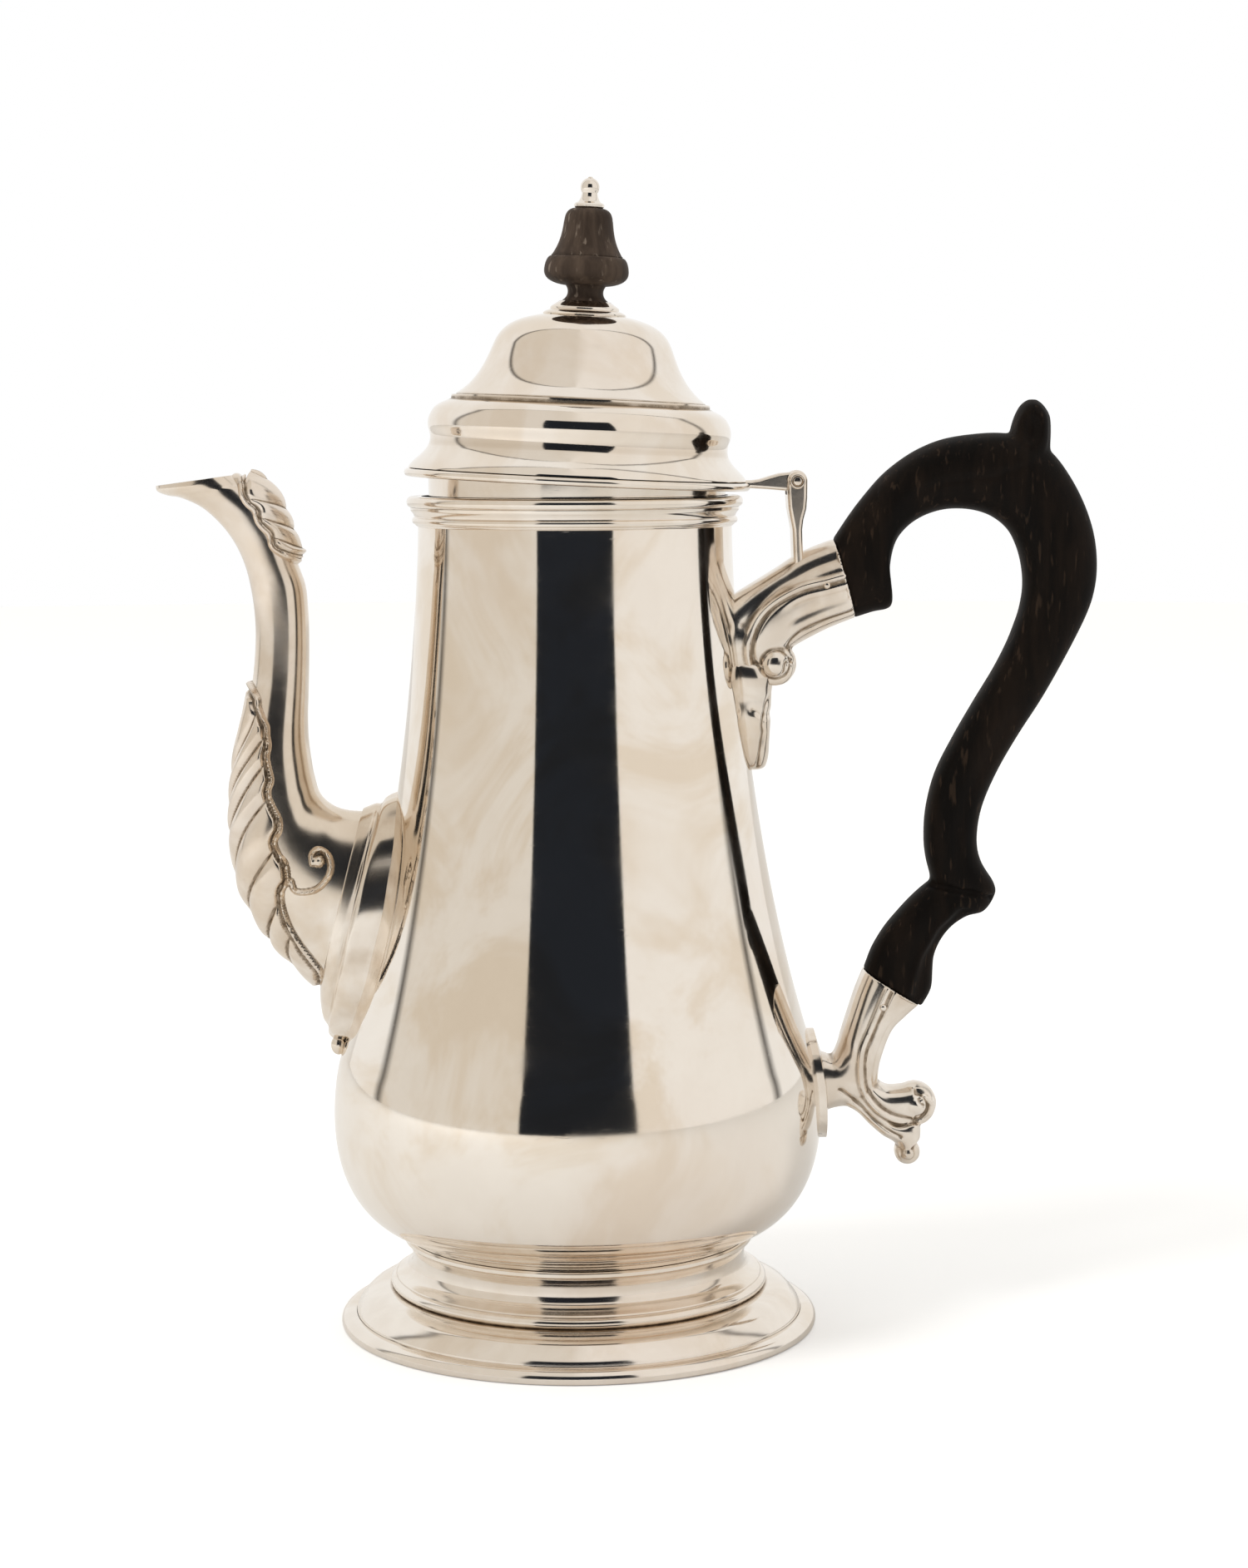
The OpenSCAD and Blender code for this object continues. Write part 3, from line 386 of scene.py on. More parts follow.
shell = BODY + [(33.5, 184.0)] + inside_of(BODY[:-1], BODY_WALL)
body = turned("body", shell, 224)
bpy.ops.mesh.primitive_cylinder_add(
    vertices=24, radius=HOLE_R * MM, depth=24 * MM, rotation=(0, math.pi / 2, 0),
    location=(-body_radius(ROOT_Z) * MM, 0, ROOT_Z * MM))
bpy.ops.object.transform_apply()
drill = bpy.context.object
holes = [((column + (0.5 if row % 2 else 0)) * HOLE_PITCH, row * HOLE_PITCH * 0.9)
         for row in range(-3, 4) for column in range(-1, 2) if not (row % 2 and column == 1)]
bits = []
for across, up in holes:
    bit = drill.copy()
    bit.data = drill.data.copy()
    bpy.context.collection.objects.link(bit)
    bit.data.transform(Matrix.Translation((0, across * MM, up * MM)))
    bits.append(bit)
bpy.data.objects.remove(drill, do_unlink=True)
take_up(*bits)
bpy.ops.object.join()
cut(body, bits[0])
raised_silver = silver("raised silver", 1.0, 0.07, 0.05, 0.6, 0.05)
dressed(body, raised_silver, "pot", "silver", "body")

# ---------------------------------------------------------------------------
# Mouth. A half-round wire and, below it, a stepped moulding with a bead, both
# drawn through a die, bent round the neck and soldered on.

lip = (
    [(34.3, 184.0)] + curve((35.6, 184.0), (36.2, 183.95), (36.7, 183.5), (36.7, 182.9), 8)
    + curve((36.7, 182.7), (36.7, 182.1), (36.3, 181.7), (35.8, 181.6), 8) + [(34.3, 181.6), (34.3, 184.0)])
dressed(turned("mouth_wire", lip), spun_silver, "pot", "silver", "mouth_wire")

steps = (
    [(34.3, 181.6), (35.9, 181.6), (35.9, 181.1)]
    + curve((35.85, 180.9), (35.5, 180.5), (35.15, 180.1), (35.1, 179.7), 8)
    + [(35.1, 179.55)] + arc((34.75, 178.75), 0.8, 62, -80, 12)
    + [(34.75, 177.7), (34.3, 177.4), (34.3, 181.6)])
neck = turned("neck_moulding", steps)
mark_hollows(neck, 5, 8.0)
dressed(neck, spun_silver, "pot", "silver", "neck_moulding")

# ---------------------------------------------------------------------------
# Spout. Cast hollow, filed and polished. A station is (outer x, outer z, inner x,
# inner z, half the width across the pot), from the root to the lip.

SPOUT_HALF_W = 9.8
SPOUT_WALL = 1.1
SPOUT_SIDES = 96
OVAL = 0.92                     # how oval the sections are: 1 is an ellipse, less is squarer
SPOUT_ROWS = [
    (-42, 70.4, -33, 117, 1), (-49, 72.4, -41, 115.6, 1), (-56.1, 76, -47, 114.8, 1),
    (-63.7, 82.9, -52.5, 115.6, 0.98), (-69.7, 90.7, -56.2, 118.4, 0.96),
    (-73.6, 98.6, -57.6, 122.5, 0.93), (-75, 106.5, -58.3, 126.5, 0.89), (-75.3, 115, -58.8, 131, 0.84),
    (-74.5, 124.5, -58.9, 136, 0.78), (-72.8, 134, -58.7, 141, 0.71), (-71, 143, -58.5, 147, 0.65),
    (-70.1, 152, -58.4, 153, 0.62), (-70.2, 158.5, -58.5, 159, 0.61), (-71, 164.5, -59, 164.5, 0.61),
    (-72.2, 169.3, -60.5, 169, 0.62), (-74.2, 173.8, -62, 173.4, 0.63),
    (-77.2, 178, -63.9, 177.8, 0.65), (-81.3, 181.7, -66.4, 182.5, 0.67),
    (-85.8, 183.8, -69.6, 186.2, 0.67), (-88.6, 184.3, -71.6, 187, 0.67),
    (-90.9, 185.2, -73.3, 188, 0.66), (-91.3, 186.4, -74.4, 188.7, 0.64)]


def smooth_rows(rows, steps):
    """Stations with more between them, on a smooth curve through the given ones."""
    p = np.array(rows, float)
    p = np.vstack([p[:1], p, p[-1:]])
    t = (np.arange(steps) / steps)[:, None]
    out = [0.5 * (2 * b + (c - a) * t + (2 * a - 5 * b + 4 * c - d) * t ** 2
                  + (3 * b - a - 3 * c + d) * t ** 3)
           for a, b, c, d in zip(p, p[1:], p[2:], p[3:])]
    return np.vstack(out + [p[-1:]])


def stations(rows, half_w, steps):
    """Smoothed stations whose last number was given as a share of half_w."""
    return smooth_rows([(*row[:4], row[4] * half_w) for row in rows], steps)


def grown(rows, t):
    """Stations of a section that is larger all round by t."""
    rows = np.array(rows, float)
    away = rows[:, :2] - rows[:, 2:4]
    away /= np.linalg.norm(away, axis=1)[:, None]
    t = np.broadcast_to(t, (len(rows),))[:, None]
    return np.hstack([rows[:, :2] + t * away, rows[:, 2:4] - t * away, rows[:, 4:5] + t])


def sections(rows, sides, square=OVAL, egg=0.0):
    """Rings of points round rounded-off sections, one ring to a station."""
    rows = np.array(rows, float)
    turn = np.arange(sides) * math.tau / sides
    c = np.sign(np.cos(turn)) * np.abs(np.cos(turn)) ** square
    w = np.sign(np.sin(turn)) * np.abs(np.sin(turn)) ** square
    c, w = c[None, :], w[None, :]
    egg = np.broadcast_to(egg, (len(rows),))[:, None]
    mid, half = (rows[:, :2] + rows[:, 2:4]) / 2, (rows[:, :2] - rows[:, 2:4]) / 2
    return np.stack([mid[:, :1] + c * half[:, :1], rows[:, 4:5] * w * (1 - egg * c),
                     mid[:, 1:] + c * half[:, 1:]], axis=2)


def lofted(name, rings, crease=60, closed=False):
    """A swept piece: a disc extruded once for every ring, each ring then set to its section."""
    count, sides = rings.shape[:2]
    bpy.ops.mesh.primitive_circle_add(vertices=sides, radius=MM, fill_type="NGON")
    piece = named(name)
    bpy.ops.object.mode_set(mode="EDIT")
    bpy.ops.mesh.select_mode(type="VERT")
    bpy.ops.mesh.select_all(action="SELECT")
    for _ in range(count - 1):
        bpy.ops.mesh.extrude_region_move(TRANSFORM_OT_translate={"value": (0, 0, MM)})
    bpy.ops.object.mode_set(mode="OBJECT")
    piece.data.vertices.foreach_set("co", (rings * MM).ravel())
    bpy.ops.object.mode_set(mode="EDIT")
    if closed:
        bpy.ops.mesh.select_mode(type="FACE")
        bpy.ops.mesh.select_all(action="DESELECT")
        bpy.ops.mesh.select_face_by_sides(number=4, type="NOTEQUAL")
        bpy.ops.mesh.bridge_edge_loops()
    finish_mesh(crease)
    return piece


def body_former(less, low, high):
    """A solid of the body's outside, a little smaller, to cut what is soldered to it."""
    line = [(r - less, z) for r, z in BODY if low < z < high]
    return turned("former", [(0, line[0][1])] + line + [(0, line[-1][1])], 160)


def beak(rows):
    """How far each of the spout's sections narrows to its front, near the lip."""
    along = np.linspace(0, 1, len(rows))
    return 0.3 * np.clip((along - 0.75) / 0.25, 0, 1) ** 1.5


spout_rows = stations(SPOUT_ROWS, SPOUT_HALF_W, 6)
outside, middle, inside = (sections(grown(spout_rows, -inwards), SPOUT_SIDES, OVAL, beak(spout_rows))
                           for inwards in (0, SPOUT_WALL / 2, SPOUT_WALL))
rounded_lip = middle[-1:] + (outside[-1:] - outside[-2:-1]) * 0.35
spout = lofted("spout", np.concatenate([outside, rounded_lip, inside[::-1]]), closed=True)
cut(spout, body_former(0.2, 55, 150))
cast_silver = silver("cast silver", 0.9, 0.3, 0.15, 0.4, 0.03)
dressed(spout, cast_silver, "pot", "silver", "spout")

# ---------------------------------------------------------------------------
# Shell, leaf and collar on the spout. Cast and chased: fluted lobes that sweep up
# from a middle rib to a scalloped wire edge, soldered over the spout.

SHELL_EDGE = [
    (-73.5, 147.5), (-71.1, 144.3), (-68.6, 140.6), (-68.3, 138.6), (-67.4, 136.3), (-66.5, 134.4),
    (-66.4, 132.4), (-66.1, 130), (-66.5, 127.8), (-66.2, 125.6), (-65.6, 122.6), (-66.3, 119.8),
    (-65.3, 117), (-64.0, 114.4), (-63.9, 111.6), (-65.0, 109.2), (-64.2, 106.8), (-62.7, 104.6),
    (-62.3, 100.6), (-63.6, 98.2), (-63.5, 95), (-62.2, 90.6), (-60.1, 86.6), (-57.4, 82.8),
    (-55.6, 80), (-55.4, 76)]
SHELL_FOOT_Z = 76               # height at which the shell begins
VOLUTE = [(-62.3, 100.6), (-61.2, 98.3), (-57.2, 98.6), (-54.6, 100.9), (-53.6, 103.5), (-54.3, 106.1),
          (-56.3, 107.4), (-57.7, 106.4), (-57.6, 104.4)]
SHELL_NOTCHES = [78, 90, 99.4, 108.9, 119.4, 127.4, 133.4, 139.4, 147]
LEAF_EDGE = [
    (-76.5, 190.8), (-74.8, 188.8), (-73.2, 186.6), (-72.8, 184.6), (-72.2, 183.2), (-71.3, 181.9),
    (-70.0, 180.7), (-69.7, 179.6), (-69.1, 178), (-68.0, 176.6), (-66.9, 175.4), (-66.6, 173.6),
    (-65.8, 172.2), (-64.2, 171), (-62.4, 169.9), (-60.8, 169.2), (-59, 169)]
SUNK = -0.3                     # height of the coats' hidden rest, under the spout's surface
BARE = -0.28                    # where a coat lies lower than this, there is none
COAT_T = 0.5                    # thickness of the coats
LEAF_NOTCHES = [166, 172.2, 175.9, 180.1, 184.2, 189, 193]


def past_edge(edge, x, z):
    """How far each side-view point lies past an edge, positive to the left of the way it runs."""
    line = smooth_rows(edge, 4)
    a, d = line[:-1], np.diff(line, axis=0)
    px, pz = x.ravel()[:, None] - a[:, 0], z.ravel()[:, None] - a[:, 1]
    t = np.clip((px * d[:, 0] + pz * d[:, 1]) / (d ** 2).sum(axis=1), 0, 1)
    gap = np.hypot(px - t * d[:, 0], pz - t * d[:, 1])
    near = gap.argmin(axis=1)
    rows = np.arange(len(near))
    side = np.sign(d[near, 0] * pz[rows, near] - d[near, 1] * px[rows, near])
    return (side * gap[rows, near]).reshape(x.shape)


def eased(value, low, high):
    """Goes smoothly from 0 at low to 1 at high."""
    t = np.clip((value - low) / (high - low), 0, 1)
    return t * t * (3 - 2 * t)


def surface_normals(rings):
    """The way that each point of a sweep faces."""
    along = np.gradient(rings, axis=0)
    round_it = np.roll(rings, -1, axis=1) - np.roll(rings, 1, axis=1)
    n = np.cross(along, round_it)
    return n / np.maximum(np.linalg.norm(n, axis=2), 1e-9)[:, :, None]


def ornament(name, rows, sides, height):
    """A thin cast coat over the spout, raised by height(angle, x, z), and cut away where that is low."""
    rings = sections(rows[:, :5], sides, OVAL, rows[:, 5])
    normals = surface_normals(rings)
    turn = np.arange(sides) * 360 / sides
    turn = np.abs((turn + 180) % 360 - 180)[None, :] + np.zeros((len(rows), 1))
    rise = height(turn, rings[:, :, 0], rings[:, :, 2])
    piece = lofted(name, rings + rise[:, :, None] * normals)
    faces = np.array([max(rise.ravel()[list(p.vertices)]) > BARE and len(p.vertices) == 4
                      for p in piece.data.polygons])
    bpy.ops.object.mode_set(mode="EDIT")
    bpy.ops.mesh.select_mode(type="FACE")
    bpy.ops.object.mode_set(mode="OBJECT")
    piece.data.polygons.foreach_set("select", ~faces)
    bpy.ops.object.mode_set(mode="EDIT")
    bpy.ops.mesh.delete(type="FACE")
    bpy.ops.object.mode_set(mode="OBJECT")
    mark_hollows(piece, 12, 6.0)
    wall = piece.modifiers.new("wall", "SOLIDIFY")
    wall.thickness = COAT_T * MM
    wall.offset = -1
    bpy.ops.object.modifier_apply(modifier="wall")
    bpy.ops.object.shade_smooth_by_angle(angle=math.radians(80))
    return piece


def lobes(across, z, notches, slant):
    """Rounded flutes between notches; across goes from 0 at the middle rib to 1 at the edge."""
    meets = z + slant * (1 - across)
    phase = np.interp(meets, notches, np.arange(len(notches)))
    part = phase - np.floor(phase)
    return np.sin(math.pi * part) ** 0.6


FINE = 22                       # stations between two given ones
fine_rows = stations(SPOUT_ROWS, SPOUT_HALF_W, FINE)
fine_rows = np.hstack([fine_rows, beak(fine_rows)[:, None]])


def fluted(turn, x, z, edge, middle, notches, slant):
    """How far inside an edge each point lies, its share of the way out to it, and its flute."""
    deep = past_edge(edge, x, z)
    deep = -deep if deep[len(deep) // 2, middle] < 0 else deep
    edge_turn = np.array([t[d > 0].max() if (d > 0).any() else 1 for t, d in zip(turn, deep)])
    edge_turn = np.convolve(np.pad(edge_turn, 6, mode="edge"), np.ones(13) / 13, "valid")[:, None]
    across = np.clip(turn / np.maximum(edge_turn, 1), 0, 1)
    return deep, across, lobes(across, z, notches, slant * edge_turn)


def shell_height(turn, x, z):
    """The shell's flutes, its wire edge, and the small volute that curls off it."""
    deep, across, flutes = fluted(turn, x, z, SHELL_EDGE, 0, SHELL_NOTCHES, 0.19)
    inner = 0.3 + 1.25 * flutes
    inner = np.where(across < 0.12, np.maximum(inner, 1.1 - 3 * across), inner)
    wire = 1.25 * np.exp(-((deep - 0.6) / 0.42) ** 2)
    gutter = 1 - 0.75 * np.exp(-((deep - 1.45) / 0.35) ** 2)
    rise = np.maximum(inner * gutter * eased(deep, 0.7, 1.3), wire)
    rise = rise + 1.3 * eased(z, 141.5, 145.5) * eased(deep, 0, 1.5)
    rise = np.where(z < SHELL_FOOT_Z, SUNK, SUNK + (rise - SUNK) * eased(deep, -0.15, 0.35))
    ball = 1.7 * np.sqrt(np.clip(1 - ((x + 56.3) ** 2 + (z - 104.9) ** 2) / 1.9, 0, 1)) + SUNK
    wire = 1.4 * np.exp(-(past_edge(VOLUTE, x, z) / 0.62) ** 2) + SUNK
    bed = np.where(np.hypot(x + 57.2, z - 103.2) < 5.2, -0.1, SUNK)
    return np.maximum(np.maximum(rise, bed), np.maximum(ball, wire))


def leaf_height(turn, x, z):
    """The leaf's flutes, its spine that stands up to the tip, and its wire edge."""
    middle = turn.shape[1] // 2
    deep, across, flutes = fluted(180 - turn, x, z, LEAF_EDGE, middle, LEAF_NOTCHES, 0.055)
    spine = 1 + 1.6 * eased(z, 172, 189)
    inner = 0.4 + 0.8 * flutes + spine * (1 - across) ** 1.2
    wire = 1.0 * np.exp(-((deep - 0.55) / 0.4) ** 2)
    gutter = 1 - 0.7 * np.exp(-((deep - 1.3) / 0.35) ** 2)
    rise = np.maximum(inner * gutter * eased(deep, 0.6, 1.2), wire)
    rise = rise + 0.9 * np.exp(-((z - 171) / 1.2) ** 2) * (across < 0.8) * eased(deep, 0.3, 1.2)
    return SUNK + (rise - SUNK) * eased(deep, -0.15, 0.35)


chased_silver = silver("chased silver", 0.9, 0.42, 0.17, 0.3, 0.03, hollows=True)
shell_piece = ornament("spout_shell", fine_rows[2 * FINE:11 * FINE], 288, shell_height)
dressed(shell_piece, chased_silver, "pot", "silver", "spout_shell")
leaf_piece = ornament("spout_leaf", fine_rows[13 * FINE:], 256, leaf_height)
dressed(leaf_piece, chased_silver, "pot", "silver", "spout_leaf")
COLLAR_FOOT_Z = 63.8            # height at which the collar's tail is cut level
COLLAR_SIDES = 144
collar_rows = smooth_rows(
    [(-41, 63, -33, 120.5, 10.8), (-53, 64, -40, 118.5, 10.6), (-55.6, 66.8, -43, 116.8, 10.3),
     (-56.7, 71, -45.2, 116, 10.0), (-57, 75, -47, 115.4, 9.85)], 12)
roll = np.sin(math.pi * np.linspace(0, 1, len(collar_rows))) ** 0.8
rings = sections(grown(collar_rows, 0.25 * roll), COLLAR_SIDES, 0.9)
turn = np.arange(COLLAR_SIDES) * math.tau / COLLAR_SIDES
outward = np.linspace(0, 1, len(rings))[:, None]
ripple = 0.32 * np.sin(11 * turn + 0.6)[None, :] * eased(1 - outward, 0.35, 0.75)
ripple = ripple - 0.45 * np.exp(-((outward - 0.52) / 0.07) ** 2)
rings = rings + ripple[:, :, None] * surface_normals(rings)
collar = lofted("spout_collar", rings)
cut(collar, body_former(0.15, 50, 150))
core_rows = spout_rows[::2]
cut(collar, lofted("core", sections(grown(core_rows, -0.15), SPOUT_SIDES, OVAL, beak(spout_rows)[::2])))
cut(collar, slab("blade", [(-70, 30), (-30, 30), (-30, COLLAR_FOOT_Z), (-70, COLLAR_FOOT_Z)], 40))
mark_hollows(collar, 4, 9.0)
bpy.ops.object.shade_smooth_by_angle(angle=math.radians(50))
dressed(collar, chased_silver, "pot", "silver", "spout_collar")

# ---------------------------------------------------------------------------
# Pendant. A small ribbed bead that ends the collar, cast and soldered on.

bead = turned("spout_pendant", arc((0, 0), 2.0, -90, 90, 17), 64)
take_up(bead)
edit_all()
bpy.ops.transform.resize(value=(0.86, 0.86, 1.1))
bpy.ops.transform.translate(value=(-(body_radius(62.6) + 1.25) * MM, 0, 62.5 * MM))
bpy.ops.object.mode_set(mode="OBJECT")
mark_hollows(bead, 2)
dressed(bead, chased_silver, "pot", "silver", "spout_pendant")

# ---------------------------------------------------------------------------
# Upper socket. A cast scroll soldered to the body: a tube for the handle's tenon,
# edged by two chased ribs that run down into a curled eye.

UPPER_MOUTH = (58.9, 165.7)
SOCKET_HALF_W = 7.6
UPPER_LEAN = 15.6               # rise of the upper tenon, in degrees
LOWER_MOUTH = (69.7, 75.1)
LOWER_LEAN = 57.1               # rise of the lower tenon, in degrees
TENON_PAST = 1.5                # how far the room for a tenon is cut past the mouth


def from_mouth(rows, mouth, steps):
    """Stations given as steps from a socket's mouth, smoothed."""
    (x, z), w = mouth, SOCKET_HALF_W
    return smooth_rows([(a + x, b + z, c + x, d + z, e * w) for a, b, c, d, e in rows], steps)


def crossbar(name, outline, steps, at):
    """A turned piece whose axis lies across the pot."""
    piece = turned(name, outline, steps)
    piece.rotation_euler = (math.pi / 2, 0, 0)
    piece.location = (at[0] * MM, 0, at[1] * MM)
    bpy.ops.object.transform_apply()
    return piece


def both_sides(line):
    """An outline drawn down one side, mirrored up the other."""
    return line + [(r, -h) for r, h in reversed(line)]


def eye(name, at, radius, width, boss):
    """A scroll's curled end: a round-edged disc with a ball on each side, lying across the pot."""
    half = width / 2
    rise = boss * 0.55
    side = [(0, half + rise), (boss * 0.5, half + rise * 0.8), (boss * 0.85, half + rise * 0.25),
            (boss * 0.9, half - 0.6), (radius * 0.8, half - 1.0), (radius, half - 2.4)]
    return crossbar(name, both_sides(side), 48, at)


def file_smooth(rounds):
    edit_all()
    bpy.ops.mesh.vertices_smooth(factor=0.5, repeat=rounds)
    bpy.ops.object.mode_set(mode="OBJECT")


def cast(name, parts, grain, rounds=6):
    """Several shapes melted into one, as a casting is, and filed smooth."""
    take_up(*parts)
    if len(parts) > 1:
        bpy.ops.object.join()
    piece = named(name)
    piece.data.remesh_voxel_size = grain * MM
    bpy.ops.object.voxel_remesh()
    file_smooth(rounds)
    bpy.ops.object.shade_smooth()
    return piece


def carve(piece, rise, rounds):
    """Chases a casting: moves each point along its normal by rise(x, z, how far it faces sideways)."""
    mesh = piece.data
    co, nor = points_of(mesh)
    co = co / MM
    move = rise(co[:, 0], co[:, 2], np.abs(nor[:, 1]))
    mesh.vertices.foreach_set("co", ((co + move[:, None] * nor) * MM).ravel())
    mesh.update()
    take_up(piece)
    file_smooth(rounds)


def ridge(line, x, z, height, width, shift=0.0):
    """A raised line, or a groove if the height is negative, along a side-view line."""
    return height * np.exp(-((past_edge(line, x, z) - shift) / width) ** 2)


def tenon_block(name, mouth, lean, length, width, height):
    """The room for a tenon, from inside a socket to TENON_PAST beyond its mouth."""
    bpy.ops.mesh.primitive_cube_add(size=1)
    block = bpy.context.object
    block.name = name
    block.scale = (length * MM, width * MM, height * MM)
    bpy.ops.object.transform_apply()
    edit_all()
    bpy.ops.transform.translate(value=((TENON_PAST - length / 2) * MM, 0, 0))
    bpy.ops.object.mode_set(mode="OBJECT")
    block.rotation_euler = (0, -math.radians(lean), 0)
    block.location = (mouth[0] * MM, 0, mouth[1] * MM)
    bpy.ops.object.transform_apply()
    return block


UPPER_ROWS = [
    (-29, -8, -29, -23.5, 0.95), (-24.4, -3.6, -22, -21.5, 0.97), (-18.9, -0.1, -14.5, -17.2, 1),
    (-14.7, 2.5, -10.9, -14.8, 1), (-10.9, 5, -7.3, -12.8, 1), (-6.9, 6.9, -3, -10.7, 1),
    (-2.4, 8.6, 2.4, -8.6, 1)]
UPPER_RIB = [
    (61.5, 167.5), (59.1, 166.8), (54, 165.4), (49.4, 164.3), (44.7, 162.1), (41, 159.3), (38.5, 155.6),
    (37.4, 151.4), (37.9, 147.2), (40.2, 143.9), (43.5, 142.5), (46.3, 144), (47, 147)]
UPPER_EDGE = [
    (62, 160.0), (60, 158.5), (55, 156.9), (50, 154.8), (47.3, 152.7), (46.2, 151)]
UPPER_FLUTE = [
    (57, 170.4), (52, 168.6), (47.5, 166.3), (43, 163.5), (39.5, 160), (37, 156)]


def chase_upper(x, z, side):
    flank = eased(side, 0.25, 0.7)
    rib = ridge(UPPER_RIB, x, z, 0.55, 0.55)
    groove = ridge(UPPER_RIB, x, z, -0.5, 0.5, 1.25)
    between = eased(past_edge(UPPER_RIB, x, z), 1.0, 3.4) * eased(-past_edge(UPPER_EDGE, x, z), 0.8, 3.2)
    panel = -0.55 * between * eased(x, 43.5, 48.5)
    edge = ridge(UPPER_EDGE, x, z, -0.55, 0.38) + ridge(UPPER_EDGE, x, z, 0.15, 0.7, 1.1)
    flute = ridge(UPPER_FLUTE, x, z, -0.75, 1.7)
    return flank * (rib + groove + panel + edge * eased(x, 44, 48)) + eased(side, 0.1, 0.6) * flute


upper_body = lofted("upper_socket", sections(from_mouth(UPPER_ROWS, UPPER_MOUTH, 8), 64, 0.75))
upper_eye = eye("upper_eye", (43.5, 147.3), 4.8, 12.8, 3.4)
upper_socket = cast("upper_socket", [upper_body, upper_eye], 0.28)
carve(upper_socket, chase_upper, 2)
cut(upper_socket, body_former(0.2, 120, 176))
cut(upper_socket, tenon_block("pocket", UPPER_MOUTH, UPPER_LEAN, 10.4, 7.6, 10.0))
mark_hollows(upper_socket, 7, 11.0)
dressed(upper_socket, chased_silver, "pot", "silver", "upper_socket")

# ---------------------------------------------------------------------------
# Leaf below the upper socket. Cast and chased, it covers the solder and carries
# the scroll's line down the body.

DROP_ROWS = [
    (-0.1, 4.0, 0.6), (0.95, 3.0, 0.8), (1.4, 0.4, 0.9), (1.2, -3.6, 0.88), (1.02, -9.2, 0.83),
    (0.84, -13.6, 0.76), (0.68, -17.4, 0.63), (0.44, -20, 0.4), (0.12, -20.8, 0.16)]
DROP_VEIN = [
    (43.4, 142), (41.9, 138.5), (41.5, 136.2), (41.0, 133.9), (41.3, 132.1), (40.6, 128.8), (39.8, 124)]
DROP_NOTCH = [(38.6, 137.2), (39.6, 136.9), (41.0, 136.1), (43.4, 136.2)]
drop_top = UPPER_MOUTH[1] - 18.5 - 2.8


def chase_drop(x, z, side):
    vein = ridge(DROP_VEIN, x, z, -0.5, 0.42) * eased(side, 0.2, 0.6)
    notch = ridge(DROP_NOTCH, x, z, -0.3, 0.9)
    hollow = -0.35 * np.exp(-((z - 139.5) / 2.6) ** 2) - 0.35 * np.exp(-((z - 131.5) / 3.0) ** 2)
    return vein + notch + hollow * eased(side, 0.4, 0.9)


drop_rows = smooth_rows([(body_radius(drop_top + d) + 4.3 * t + 1.2, drop_top + d,
                          body_radius(drop_top + d) - 4, drop_top + d, SOCKET_HALF_W * w)
                         for t, d, w in DROP_ROWS], 8)
drop = cast("socket_drop", [lofted("socket_drop", sections(drop_rows, 64, 0.8))], 0.25, 4)
carve(drop, chase_drop, 2)
cut(drop, body_former(0.2, 115, 150))
mark_hollows(drop, 7, 11.0)
dressed(drop, chased_silver, "pot", "silver", "socket_drop")

# ---------------------------------------------------------------------------
# Lower socket. The same kind of casting, standing off the body on a short neck, with
# a strap that rolls up into a ball and a smaller curl under it.

LOWER_ROWS = [
    (-22, -13.5, -22, -31, 0.8), (-15.4, -14.9, -13.6, -27.5, 0.8), (-13.2, -15.5, -8.3, -26.4, 0.84),
    (-11.9, -13, -3.5, -23.7, 0.87), (-11.1, -10.2, -2.5, -17.2, 0.9), (-9.7, -5.7, 0, -10.1, 0.92),
    (-8, -0.5, 3.1, -6.7, 0.93), (-6.17, 3.99, 6.17, -3.99, 0.93)]
TAIL_ROWS = [
    (-10.8, -22, -11.2, -26.2, 0.68), (-6.3, -24, -7.7, -28.1, 0.68), (-2.3, -27.2, -4.8, -31, 0.66),
    (1, -30.6, -1.9, -33.5, 0.63), (6.2, -30.6, 0.9, -35.3, 0.6), (6.7, -34, 2.3, -37.6, 0.58)]
CURL_ROWS = [
    (-8, -16, -8, -28, 0.7), (-2, -21.8, -3.6, -30, 0.7), (1.6, -22.4, 0.4, -31, 0.66),
    (5, -21.7, 5, -31, 0.62)]
LOWER_RIB = [
    (69.2, 77), (67.9, 74.4), (66.0, 69.8), (64.2, 65.5), (62.7, 61.5), (62.4, 57), (63.1, 52.8),
    (65.2, 49.2), (68.2, 46.6), (71.9, 44.9), (75.7, 44.0), (78.4, 46.1), (78.8, 48.9), (77.0, 50.4)]
TAIL_LINE = [(58, 52.4), (61.6, 49.4), (64.8, 46.0), (68.1, 43.6), (71.2, 41.6)]


def chase_lower(x, z, side):
    flank = eased(side, 0.25, 0.7)
    rib = ridge(LOWER_RIB, x, z, 0.5, 0.5)
    groove = ridge(LOWER_RIB, x, z, -0.55, 0.5, 1.2)
    panel = -0.6 * eased(past_edge(LOWER_RIB, x, z), 1.2, 4.0) * eased(z, 51, 55) * eased(x, 61, 64)
    strap = ridge(TAIL_LINE, x, z, -0.5, 0.45, 0.4)
    return flank * (rib + groove + panel + strap)


